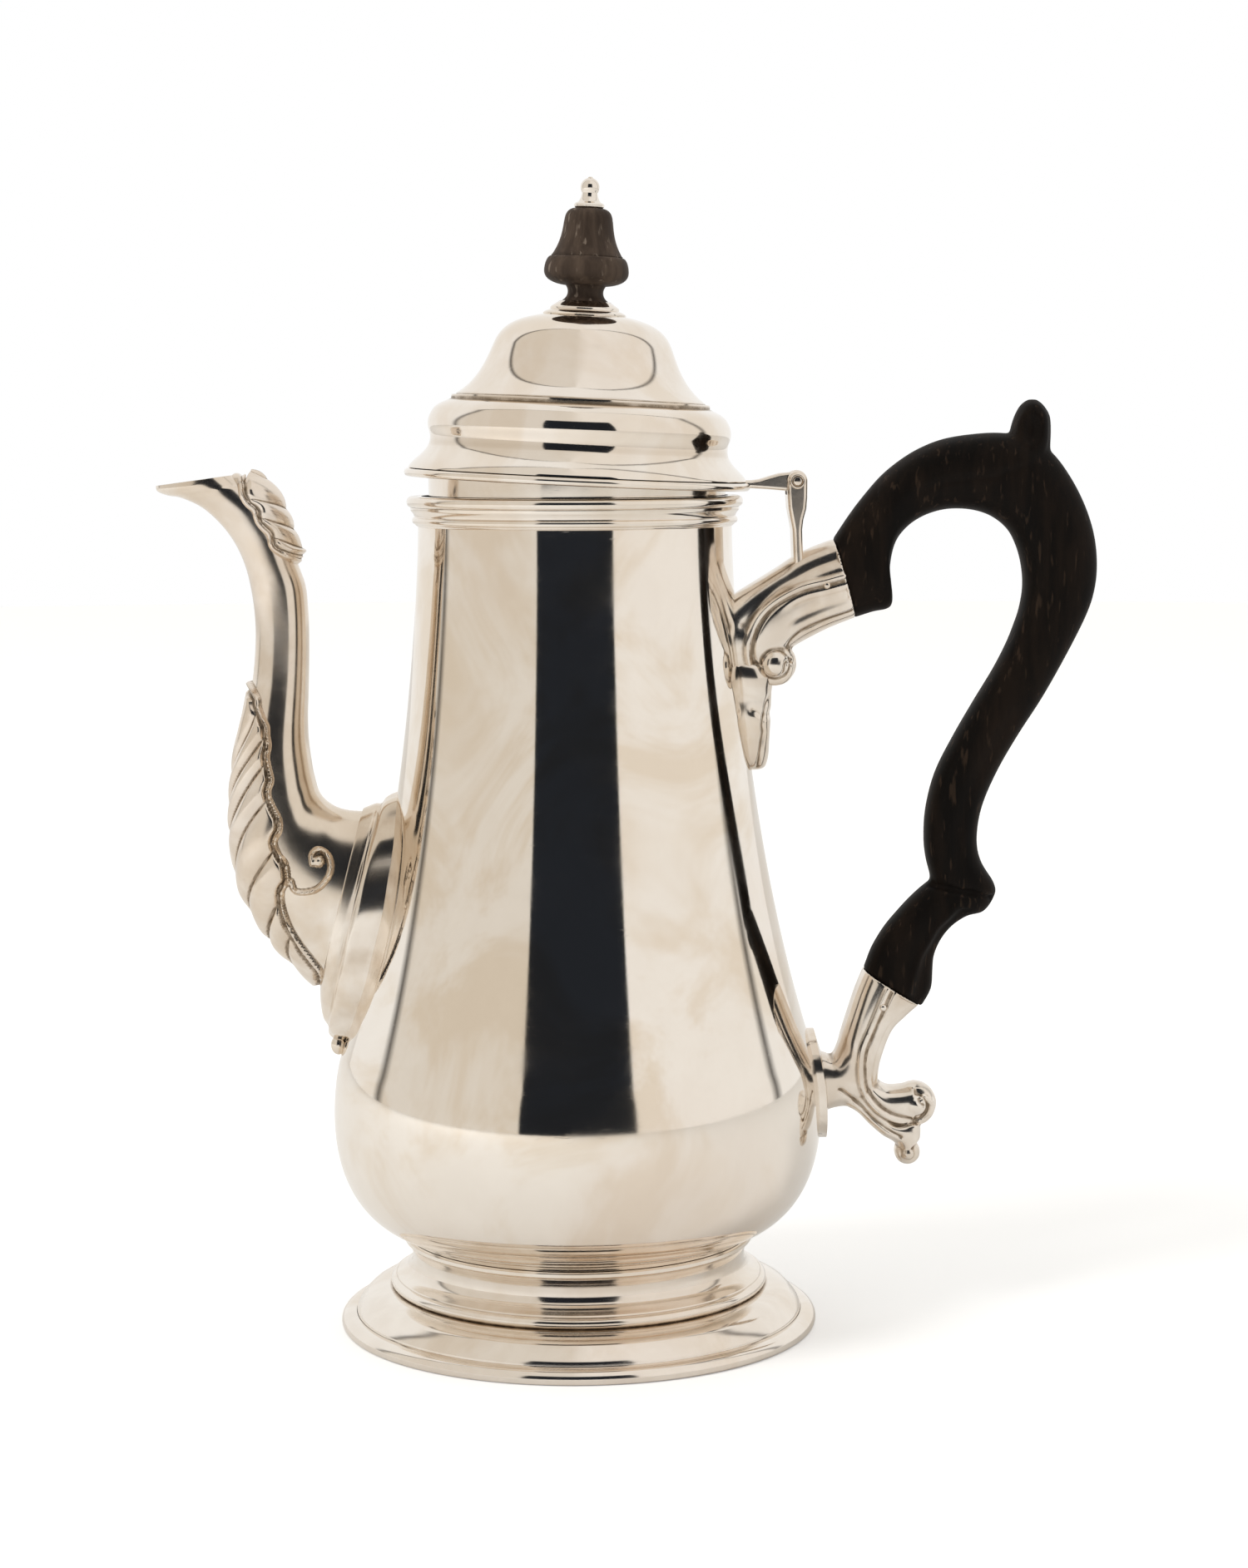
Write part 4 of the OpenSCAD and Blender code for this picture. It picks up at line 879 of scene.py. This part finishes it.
lower_parts = [lofted("lower", sections(from_mouth(rows, LOWER_MOUTH, 8), 64, 0.75))
               for rows in (LOWER_ROWS, TAIL_ROWS, CURL_ROWS)]
lower_parts.append(eye("ball", (75.1, 48.7), 4.8, 7.6, 2.6))
lower_parts.append(eye("curl", (73.5, 37.7), 2.85, 7.6, 1.4))
lower_socket = cast("lower_socket", lower_parts, 0.26)
carve(lower_socket, chase_lower, 2)
cut(lower_socket, body_former(-1.4, 38, 80))
cut(lower_socket, tenon_block("pocket", LOWER_MOUTH, LOWER_LEAN, 9.4, 7.6, 7.0))
mark_hollows(lower_socket, 7, 11.0)
dressed(lower_socket, chased_silver, "pot", "silver", "lower_socket")

# ---------------------------------------------------------------------------
# Plate. An oval of thick sheet, bent to the body and soldered between it and the
# lower socket so that the pull of the handle doesn't dent the wall.

PLATE_MID_Z = 53.3
PLATE_T = 1.6
plate_edge = arc((0, 3.25), 9.0, 0, 180, 25) + arc((0, -3.25), 9.0, 180, 360, 25)
bpy.ops.mesh.primitive_circle_add(vertices=len(plate_edge), radius=MM, fill_type="NGON")
plate = named("lower_plate")
plate.data.vertices.foreach_set(
    "co", [n for y, z in plate_edge for n in (0.04, y * MM, (PLATE_MID_Z + z) * MM)])
edit_all()
bpy.ops.mesh.extrude_region_move(TRANSFORM_OT_translate={"value": (0.03, 0, 0)})
finish_mesh(30)
jacket = turned("jacket", [(0, 36)] + [(r + PLATE_T, z) for r, z in BODY if 36 < z < 72] + [(0, 72)], 224)
cut(plate, jacket, "INTERSECT")
cut(plate, body_former(0.1, 36, 72))
ease(plate, 0.45, 50, 40)
dressed(plate, cast_silver, "pot", "silver", "lower_plate")

# ---------------------------------------------------------------------------
# Handle. Carved from one block of dark hardwood with a tenon at each end, rasped
# and scraped, with a thumb crest on its shoulder and a notched spur above the foot.

HANDLE_HALF_W = 6.8
HANDLE_ROWS = [
    (56.5, 174.3, 61.3, 157.1, 0.92), (60.3, 180, 65.1, 158.3, 0.96), (63.7, 184.4, 69.4, 159.8, 1),
    (67.2, 188.3, 68.7, 166.5, 1), (71.3, 191.6, 69.7, 172.7, 1), (75.5, 194.1, 72.3, 176.6, 1),
    (80.5, 196, 76.3, 179.3, 1), (86.5, 197, 81.2, 180.7, 1), (93, 197.3, 86.5, 180.6, 1),
    (99.5, 196.2, 91, 179.2, 1), (104.3, 193, 94.6, 176.4, 1), (108.3, 187.8, 96.6, 172.8, 1),
    (111.6, 181.5, 97.8, 168.6, 1), (113.7, 175, 98.2, 163.8, 1), (114.4, 168.6, 97.5, 159, 1),
    (113.9, 163, 96.2, 155, 1), (112.2, 157.6, 94.6, 151, 1), (108.2, 149.4, 91.8, 145.5, 0.98),
    (102.8, 139.6, 87.4, 138.2, 0.96), (97.2, 130.8, 83, 130.5, 0.94), (92.7, 122.8, 79.2, 122.8, 0.92),
    (89.5, 115, 77.2, 115, 0.9), (88.5, 108, 76.8, 108.2, 0.88), (89.5, 103, 77.3, 103.6, 0.86),
    (92.4, 98.2, 78.3, 99.3, 0.84), (92.6, 95.4, 77.2, 98, 0.82), (90.2, 91.9, 75.8, 96.8, 0.82),
    (86.6, 90.9, 73.8, 94.9, 0.82), (83.2, 88.7, 71.4, 92.3, 0.83), (80.7, 85.6, 68.3, 88.6, 0.84),
    (79.2, 82, 65.9, 84.8, 0.85), (78.9, 78.4, 64.7, 82.2, 0.86), (78.6, 74.6, 64, 80.2, 0.87),
    (76.5, 70.7, 63.5, 79.1, 0.87)]
CREST_ROWS = [
    (94.4, 190, 103.8, 190, 0.8), (94.6, 194, 103.9, 194, 0.8), (95.2, 198, 104, 198, 0.78),
    (96.1, 201, 103.7, 201, 0.7), (97.4, 203.3, 102.3, 203.3, 0.52), (99, 204.5, 100.8, 204.5, 0.25)]
CREST_EYE = (99.1, 198)         # middle of the hollow scooped in the crest
CREST_EYE_R = (2.5, 3.4)        # its size along and up
SCROLL_LINE = [
    (104, 196), (103.3, 194.3), (102.3, 192.5), (100.3, 191.2), (97.3, 189.9), (93.7, 188.8),
    (90.7, 187.9), (85.2, 187.4), (79.8, 186.6), (74, 184), (69, 179.5), (65, 173.5), (62.5, 168)]
NOTCH_LINE = [(77.2, 98.6), (81.6, 97.6), (84.7, 96.8), (87.8, 96.2), (90.9, 95.3), (94.5, 94.2)]
LOW_RIDGE = [
    (83.5, 93.5), (81.7, 91.3), (79.3, 88.9), (77.5, 85.7), (75.7, 82.6), (74.5, 78.9), (73.4, 74.5)]
UP_RIDGE = [
    (96, 136), (90, 126), (86, 118), (84.0, 110.0), (84.0, 106.2), (84.6, 102.5), (85.9, 99.4),
    (87.2, 97.3)]


def carve_handle(x, z, side):
    flank = eased(side, 0.35, 0.85)
    middle = np.hypot((x - CREST_EYE[0]) / CREST_EYE_R[0], (z - CREST_EYE[1]) / CREST_EYE_R[1])
    hollow = -1.5 * (1 - eased(middle, 0.35, 1.15))
    scroll = ridge(SCROLL_LINE, x, z, -0.28, 0.7) * (x < 104.5) * eased(x, 70, 80)
    upper = 0.3 * eased(-past_edge(SCROLL_LINE, x, z), -1.5, 1.5) * (z > 176) * (x > 66) * (x < 103)
    notch = ridge(NOTCH_LINE, x, z, -1.2, 0.7)
    low = ridge(LOW_RIDGE, x, z, 0.45, 0.7) + ridge(LOW_RIDGE, x, z, -0.5, 1.3, 2.1) * (z < 93)
    up = ridge(UP_RIDGE, x, z, -0.35, 1.4)
    return flank * (hollow + scroll + upper + low + up) + notch * eased(side, 0.1, 0.5)


handle = lofted("handle", sections(stations(HANDLE_ROWS, HANDLE_HALF_W, 5), 56, 0.8))
crest = lofted("crest", sections(stations(CREST_ROWS, HANDLE_HALF_W, 6), 48, 0.9))
handle = cast("handle", [handle, crest], 0.42, 5)
carve(handle, carve_handle, 2)
mark_hollows(handle, 6, 3.0)


def wood(name, dark, light, fleck, roughness, grain_turn, grain_scale):
    """Old hardwood: long grain, open pores and a worn wax surface."""
    material, tree, shader, where = new_material(name)
    lined = put_node(tree, "ShaderNodeMapping",
                     {"Vector": where, "Rotation": grain_turn, "Scale": grain_scale}).outputs[0]
    links = {"Grain": lined, "Where": where, "Dark": dark, "Light": light, "Fleck": fleck,
             "Dullness": roughness, "Hollow": hollowness(tree)}
    group = put_node(tree, "ShaderNodeGroup", links, node_tree=wood_grain).outputs
    coat(tree, shader, group, group["Height"])
    shader["Specular IOR Level"].default_value = 0.09
    return material


def make_wood_grain():
    tree, take, give = new_group(
        "wood grain",
        [("Where", "Vector", None), ("Grain", "Vector", None), ("Hollow", "Float", 0.0),
         ("Dark", "Color", (0, 0, 0, 1)), ("Light", "Color", (0, 0, 0, 1)),
         ("Fleck", "Color", (0, 0, 0, 1)), ("Dullness", "Float", 0.5)],
        [("Tint", "Color"), ("Roughness", "Float"), ("Height", "Float")])
    long = noise(tree, take["Grain"], 260, 4, 0.6, 0.3)
    broad = noise(tree, take["Where"], 45, 3, 0.5)
    pores = spread(tree, noise(tree, take["Grain"], 900, 2, 0.5), 0.60, 0.72)
    share = maths(tree, "ADD", maths(tree, "MULTIPLY", spread(tree, long, 0.35, 0.7), 0.6),
                  maths(tree, "MULTIPLY", spread(tree, broad, 0.4, 0.7), 0.4))
    tint = mixed(tree, share, take["Dark"], take["Light"])
    tint = mixed(tree, maths(tree, "MULTIPLY", pores, 0.5), tint, take["Fleck"])
    tint = mixed(tree, maths(tree, "MULTIPLY", take["Hollow"], 0.7), tint, (0.006, 0.004, 0.003, 1))
    tree.links.new(tint, give["Tint"])
    rough = maths(tree, "ADD", take["Dullness"], maths(tree, "MULTIPLY", long, 0.15))
    tree.links.new(rough, give["Roughness"])
    height = maths(tree, "SUBTRACT", maths(tree, "MULTIPLY", long, 0.04 * MM),
                   maths(tree, "MULTIPLY", pores, 0.03 * MM))
    tree.links.new(height, give["Height"])
    return tree


wood_grain = make_wood_grain()
dark_wood = wood("dark wood", (0.003, 0.0022, 0.0017, 1), (0.014, 0.0085, 0.0055, 1),
                 (0.045, 0.028, 0.018, 1), 0.5, (0, 0.5, 0), (1, 1, 0.16))
dressed(handle, dark_wood, "pot", "dark_wood", "handle")

# ---------------------------------------------------------------------------
# Pins. Silver wire driven through socket and tenon, filed to a low dome each side.

PIN_IN = 4.4                    # distance of a pin from the socket's mouth
pin_side = [(0, 7.85), (0.35, 7.82), (0.62, 7.7), (0.78, 7.45), (0.8, 7.2)]
for name, mouth, lean in (("upper_pin", UPPER_MOUTH, UPPER_LEAN), ("lower_pin", LOWER_MOUTH, LOWER_LEAN)):
    away = math.radians(lean)
    at = (mouth[0] - PIN_IN * math.cos(away), mouth[1] - PIN_IN * math.sin(away))
    dressed(crossbar(name, both_sides(pin_side), 32, at), cast_silver, "pot", "silver", name)

# ---------------------------------------------------------------------------
# Hinge. A forked post cast with the upper socket's saddle, a pin with turned heads,
# and the lid's strap, which ends in a knuckle between the fork's cheeks.

HINGE = (48.4, 187.0)
POST_W = 10.0
KNUCKLE_W = 4.8
FORK_GAP = 0.35


def bore(piece, radius):
    """Drills a piece across for the hinge pin."""
    cut(piece, crossbar("bore", both_sides([(0, 6), (radius, 6)]), 48, HINGE))
    bpy.ops.object.shade_smooth_by_angle(angle=math.radians(35))


post_outline = (
    arc(HINGE, 2.2, -6, 186, 25)
    + [(46.2, 184.6), (46.45, 181.1), (46.9, 178.8), (47.35, 176.4), (47.5, 172), (47.9, 163.5)]
    + [(50.2, 163.5), (49.6, 172), (49.45, 176.4), (49.7, 178.6), (50.35, 181.0), (50.55, 183.4)])
post = slab("hinge_post", post_outline, POST_W, 0.8)
cut(post, slab("slot", [(44, 184.0), (53, 184.0), (53, 191), (44, 191)], KNUCKLE_W + 2 * FORK_GAP, 0.02))
bore(post, 1.0)
dressed(post, cast_silver, "pot", "silver", "hinge_post")

head = ([(0, 5.35), (0.75, 5.35), (0.85, 5.3), (0.9, 5.1), (1.0, 5.1), (1.1, 5.35)]
        + curve((1.2, 5.55), (1.5, 5.65), (1.68, 5.5), (1.7, 5.0), 6) + [(1.0, 5.0)])
dressed(crossbar("hinge_pin", both_sides(head), 64, HINGE), cast_silver, "pot", "silver", "hinge_pin")

LID_OFF = 0.6
LID_AJAR = 2.8                  # angle at which the lid stands open, in degrees


def onto_lid(piece, off=LID_OFF):
    """Seats a piece drawn on the pot's axis on the lid, which stands a little ajar."""
    ajar = math.radians(LID_AJAR)
    hinge = Vector((HINGE[0] * MM, 0, HINGE[1] * MM))
    piece.data.transform(Matrix.Translation(hinge) @ Matrix.Rotation(ajar, 4, "Y")
                         @ Matrix.Translation(Vector((off * MM, 0, 0)) - hinge))
    piece.data.update()
    return piece


arm_outline = (
    arc(HINGE, 2.35, -88, 128, 24)
    + [(44.5, 188.5), (42.1, 187.7), (40.2, 187.0), (38.6, 186.7), (36.6, 186.6), (35.6, 186.5),
       (35.6, 184.9), (36.6, 184.75), (38.6, 184.95), (41.8, 184.9)])
arm = slab("hinge_arm", arm_outline, KNUCKLE_W, 0.7)
bore(arm, 1.04)
dressed(onto_lid(arm, 0), cast_silver, "lid", "silver", "hinge_arm")

# ---------------------------------------------------------------------------
# Lid. Raised and turned to a dome over an ogee, with a soldered rim moulding and a
# bezel that drops into the neck.

dome = (
    [(36.9, 186.2)]
    + curve((36.9, 186.4), (36.1, 188.0), (34.2, 188.9), (33.0, 190.8), 16)
    + curve((32.9, 191.0), (32.2, 192.3), (32.45, 193.6), (32.8, 194.6), 8)
    + curve((32.9, 194.9), (33.3, 196.2), (33.1, 197.6), (32.0, 199.2), 12)
    + curve((31.8, 199.5), (30.8, 200.5), (29.6, 200.9), (28.2, 201.5), 8)
    + [(28.15, 202.4), (27.2, 202.5)]
    + curve((27.0, 202.8), (22.9, 205.6), (21.2, 209.4), (19.8, 213.0), 26)
    + curve((19.6, 213.5), (18.3, 217.2), (16.0, 219.4), (9.0, 220.6), 24))
lid_inside = [p for p in inside_of(dome, 0.8) if p[1] > 186.4]
top = [(1.3, 220.7), (1.3, 219.8)]
lid_outline = dome + top + lid_inside + [(lid_inside[-1][0], 186.2), (36.9, 186.2)]
spun_lid = silver("spun lid", 0.8, 0.10, 0.06, 0.5, 0.04, hollows=True)
lid = onto_lid(turned("lid", lid_outline, 224))
mark_hollows(lid, 4, 6.0)
dressed(lid, spun_lid, "lid", "silver", "lid")

rim = ([(32.5, 184.3), (37.0, 184.3)] + arc((36.95, 185.15), 0.85, -85, 80, 12)
       + [(36.9, 186.05), (36.6, 186.2), (32.5, 186.2), (32.5, 184.3)])
lid_rim = onto_lid(turned("lid_rim", rim, 224))
mark_hollows(lid_rim, 4, 8.0)
dressed(lid_rim, spun_silver, "lid", "silver", "lid_rim")

bezel = [(31.5, 186.2), (32.5, 186.2), (32.5, 184.3), (32.2, 179.4), (32.1, 179.3), (31.3, 179.3),
         (31.2, 179.4), (31.5, 184.3), (31.5, 186.2)]
dressed(onto_lid(turned("lid_bezel", bezel, 192)), spun_silver, "lid", "silver", "lid_bezel")

# ---------------------------------------------------------------------------
# Finial. Turned from hardwood as a bell, standing on a silver seat, under a silver
# cap, all held by a bolt with a washer and nut inside the lid.

seat = ([(1.3, 220.6), (9.0, 220.6)] + curve((9.05, 220.9), (8.7, 221.4), (7.9, 221.5), (7.6, 221.7), 6)
        + curve((7.5, 221.9), (7.7, 222.3), (7.0, 222.6), (6.6, 222.9), 6)
        + [(5.6, 223.6), (1.3, 223.6), (1.3, 220.6)])
dressed(onto_lid(turned("finial_seat", seat, 128)), spun_silver, "lid", "silver", "finial_seat")

bell = (
    [(1.3, 223.6), (4.9, 223.6)]
    + curve((4.9, 223.8), (3.7, 224.6), (3.6, 226.0), (4.3, 226.9), 10)
    + curve((4.4, 227.0), (6.6, 227.2), (9.2, 227.9), (9.2, 230.0), 14)
    + curve((9.2, 230.3), (9.1, 232.0), (8.5, 232.9), (8.1, 233.1), 8)
    + [(7.75, 233.15), (7.75, 233.45)]
    + curve((7.6, 233.5), (5.9, 236.2), (5.6, 238.4), (5.3, 240.8), 14)
    + curve((5.25, 241.0), (5.1, 242.6), (4.4, 243.4), (3.2, 243.6), 8)
    + [(1.3, 243.6), (1.3, 223.6)])
bell_piece = turned("finial", bell, 96)
mark_hollows(bell_piece, 3, 2.5)
worn_wood = wood("worn wood", (0.035, 0.024, 0.018, 1), (0.12, 0.085, 0.062, 1), (0.30, 0.24, 0.19, 1),
                 0.5, (0, 0, 0), (1, 1, 0.14))
dressed(onto_lid(bell_piece), worn_wood, "lid", "worn_wood", "finial")

cap = ([(0, 250.36)] + curve((0.3, 250.36), (0.55, 250.28), (0.6, 250.1), (0.6, 249.9), 5)
       + arc((0, 248.1), 2.05, 68, -34, 14)
       + curve((1.7, 246.8), (1.75, 246.2), (2.0, 245.4), (2.5, 244.9), 6)
       + [(3.0, 244.7), (3.3, 244.4), (3.25, 243.9), (2.9, 243.6), (1.3, 243.6), (1.3, 247.6), (0, 247.6)])
dressed(onto_lid(turned("finial_cap", cap, 96)), spun_silver, "lid", "silver", "finial_cap")
bolt = [(0, 247.5), (1.1, 247.5), (1.28, 247.3), (1.28, 216.9), (1.1, 216.7), (0, 216.7)]
washer = [(1.35, 219.8), (4.1, 219.8), (4.2, 219.7), (4.2, 219.1), (4.1, 219.0), (1.35, 219.0),
          (1.35, 219.8)]
nut = [(1.35, 219.0), (2.7, 219.0), (3.0, 218.8), (3.0, 216.8), (2.7, 216.6), (1.35, 216.6), (1.35, 219.0)]
for name, outline, steps in (("finial_bolt", bolt, 48), ("finial_washer", washer, 64),
                             ("finial_nut", nut, 6)):
    dressed(onto_lid(turned(name, outline, steps, 25)), cast_silver, "lid", "silver", name)

# ---------------------------------------------------------------------------
# The studio. A white table and soft daylight from two screens at the sides, which
# leave a dark opening behind the camera and meet the bright backdrop at dark seams.

SLOT_HALF = 27.3                # half the width of the dark opening, in degrees
SLOT_LOW, SLOT_HIGH = -29.5, 39.0   # its lower and upper ends
SLOT_LEAN = 3.6                 # how far its lower end leans aside
SEAM = 108.0                    # where the screens end, from the camera's side
LEFT_SCREEN = (0.80, 0.765, 0.71, 1)
RIGHT_SCREEN = (0.95, 0.93, 0.90, 1)
BACKDROP = (0.97, 0.965, 0.95, 1)
SEAM_DARK = (0.05, 0.045, 0.04, 1)
SLOT_DARK = (0.017, 0.02, 0.026, 1)
WHITE = (1, 1, 1, 1)


def studio_world():
    """Daylight by its direction: turn goes round from the camera's side, rise up from level."""
    world = bpy.data.worlds.new("studio")
    bpy.context.scene.world = world
    world.use_nodes = True
    tree = world.node_tree
    tree.nodes.clear()
    way = put_node(tree, "ShaderNodeTexCoord").outputs["Generated"]
    axes = put_node(tree, "ShaderNodeSeparateXYZ", {0: way}).outputs
    turn = maths(tree, "ARCTAN2", axes[0], maths(tree, "MULTIPLY", axes[1], -1.0))
    turn = maths(tree, "MULTIPLY", turn, 180 / math.pi)
    aside = maths(tree, "ABSOLUTE", turn)
    rise = maths(tree, "MULTIPLY", maths(tree, "ARCSINE", axes[2]), 180 / math.pi)
    leant = maths(tree, "ADD", turn, spread(tree, rise, -24, -4, SLOT_LEAN, 0))
    slot = maths(tree, "MULTIPLY",
                 spread(tree, maths(tree, "ABSOLUTE", leant), SLOT_HALF - 0.7, SLOT_HALF + 0.7, 1, 0),
                 spread(tree, rise, SLOT_LOW - 1.5, SLOT_LOW + 1.5))
    slot = maths(tree, "MULTIPLY", slot, spread(tree, rise, SLOT_HIGH - 2, SLOT_HIGH + 2, 1, 0))
    off_seam = maths(tree, "ABSOLUTE", maths(tree, "SUBTRACT", aside, SEAM))
    seam = maths(tree, "SUBTRACT", 1.0, maths(tree, "MULTIPLY", off_seam, 0.22), clamp=True)
    light = mixed(tree, spread(tree, turn, -14, 14), LEFT_SCREEN, RIGHT_SCREEN)
    light = mixed(tree, spread(tree, aside, SEAM - 1, SEAM + 1), light, BACKDROP)
    light = mixed(tree, maths(tree, "MULTIPLY", seam, 0.9), light, SEAM_DARK)
    light = mixed(tree, slot, light, SLOT_DARK)
    seen = put_node(tree, "ShaderNodeLightPath").outputs["Is Camera Ray"]
    light = mixed(tree, seen, light, WHITE)
    shine = put_node(tree, "ShaderNodeBackground", {"Color": light, "Strength": 1.0}).outputs[0]
    out = tree.nodes.new("ShaderNodeOutputWorld")
    tree.links.new(shine, out.inputs["Surface"])


studio_world()

bpy.ops.mesh.primitive_circle_add(vertices=128, radius=3.0, fill_type="NGON", location=(0, 0, -0.0001))
table = named("table")
paper, tree, matt, _ = new_material("white table")
matt["Base Color"].default_value = (0.86, 0.86, 0.855, 1)
matt["Roughness"].default_value = 1.0
matt["Specular IOR Level"].default_value = 0.0
path = put_node(tree, "ShaderNodeLightPath").outputs
lift = maths(tree, "MULTIPLY", path["Is Camera Ray"], 0.27)
matt["Emission Color"].default_value = WHITE
tree.links.new(lift, matt["Emission Strength"])
table.data.materials.append(paper)

bpy.ops.object.light_add(type="AREA", location=(-1.3, -0.9, 1.6))
lamp = bpy.context.object
lamp.name = "window"
lamp.data.shape = "DISK"
lamp.data.size = 0.9
lamp.data.energy = 18
lamp.visible_glossy = False
lamp.rotation_euler = (Vector((0, 0, 0.1)) - lamp.location).to_track_quat("-Z", "Y").to_euler()

camera = bpy.data.objects.new("camera", bpy.data.cameras.new("camera"))
bpy.context.collection.objects.link(camera)
camera.data.sensor_width = 36
camera.data.lens = 74.87
camera.location = (0, -0.71529, 0.19929)
camera.rotation_mode = "XYZ"
camera.rotation_euler = (math.pi / 2 - 0.1097, 0.0035, -0.0151)
camera.data.clip_start = 0.05
bpy.context.scene.camera = camera
bpy.context.scene.view_settings.view_transform = "Standard"
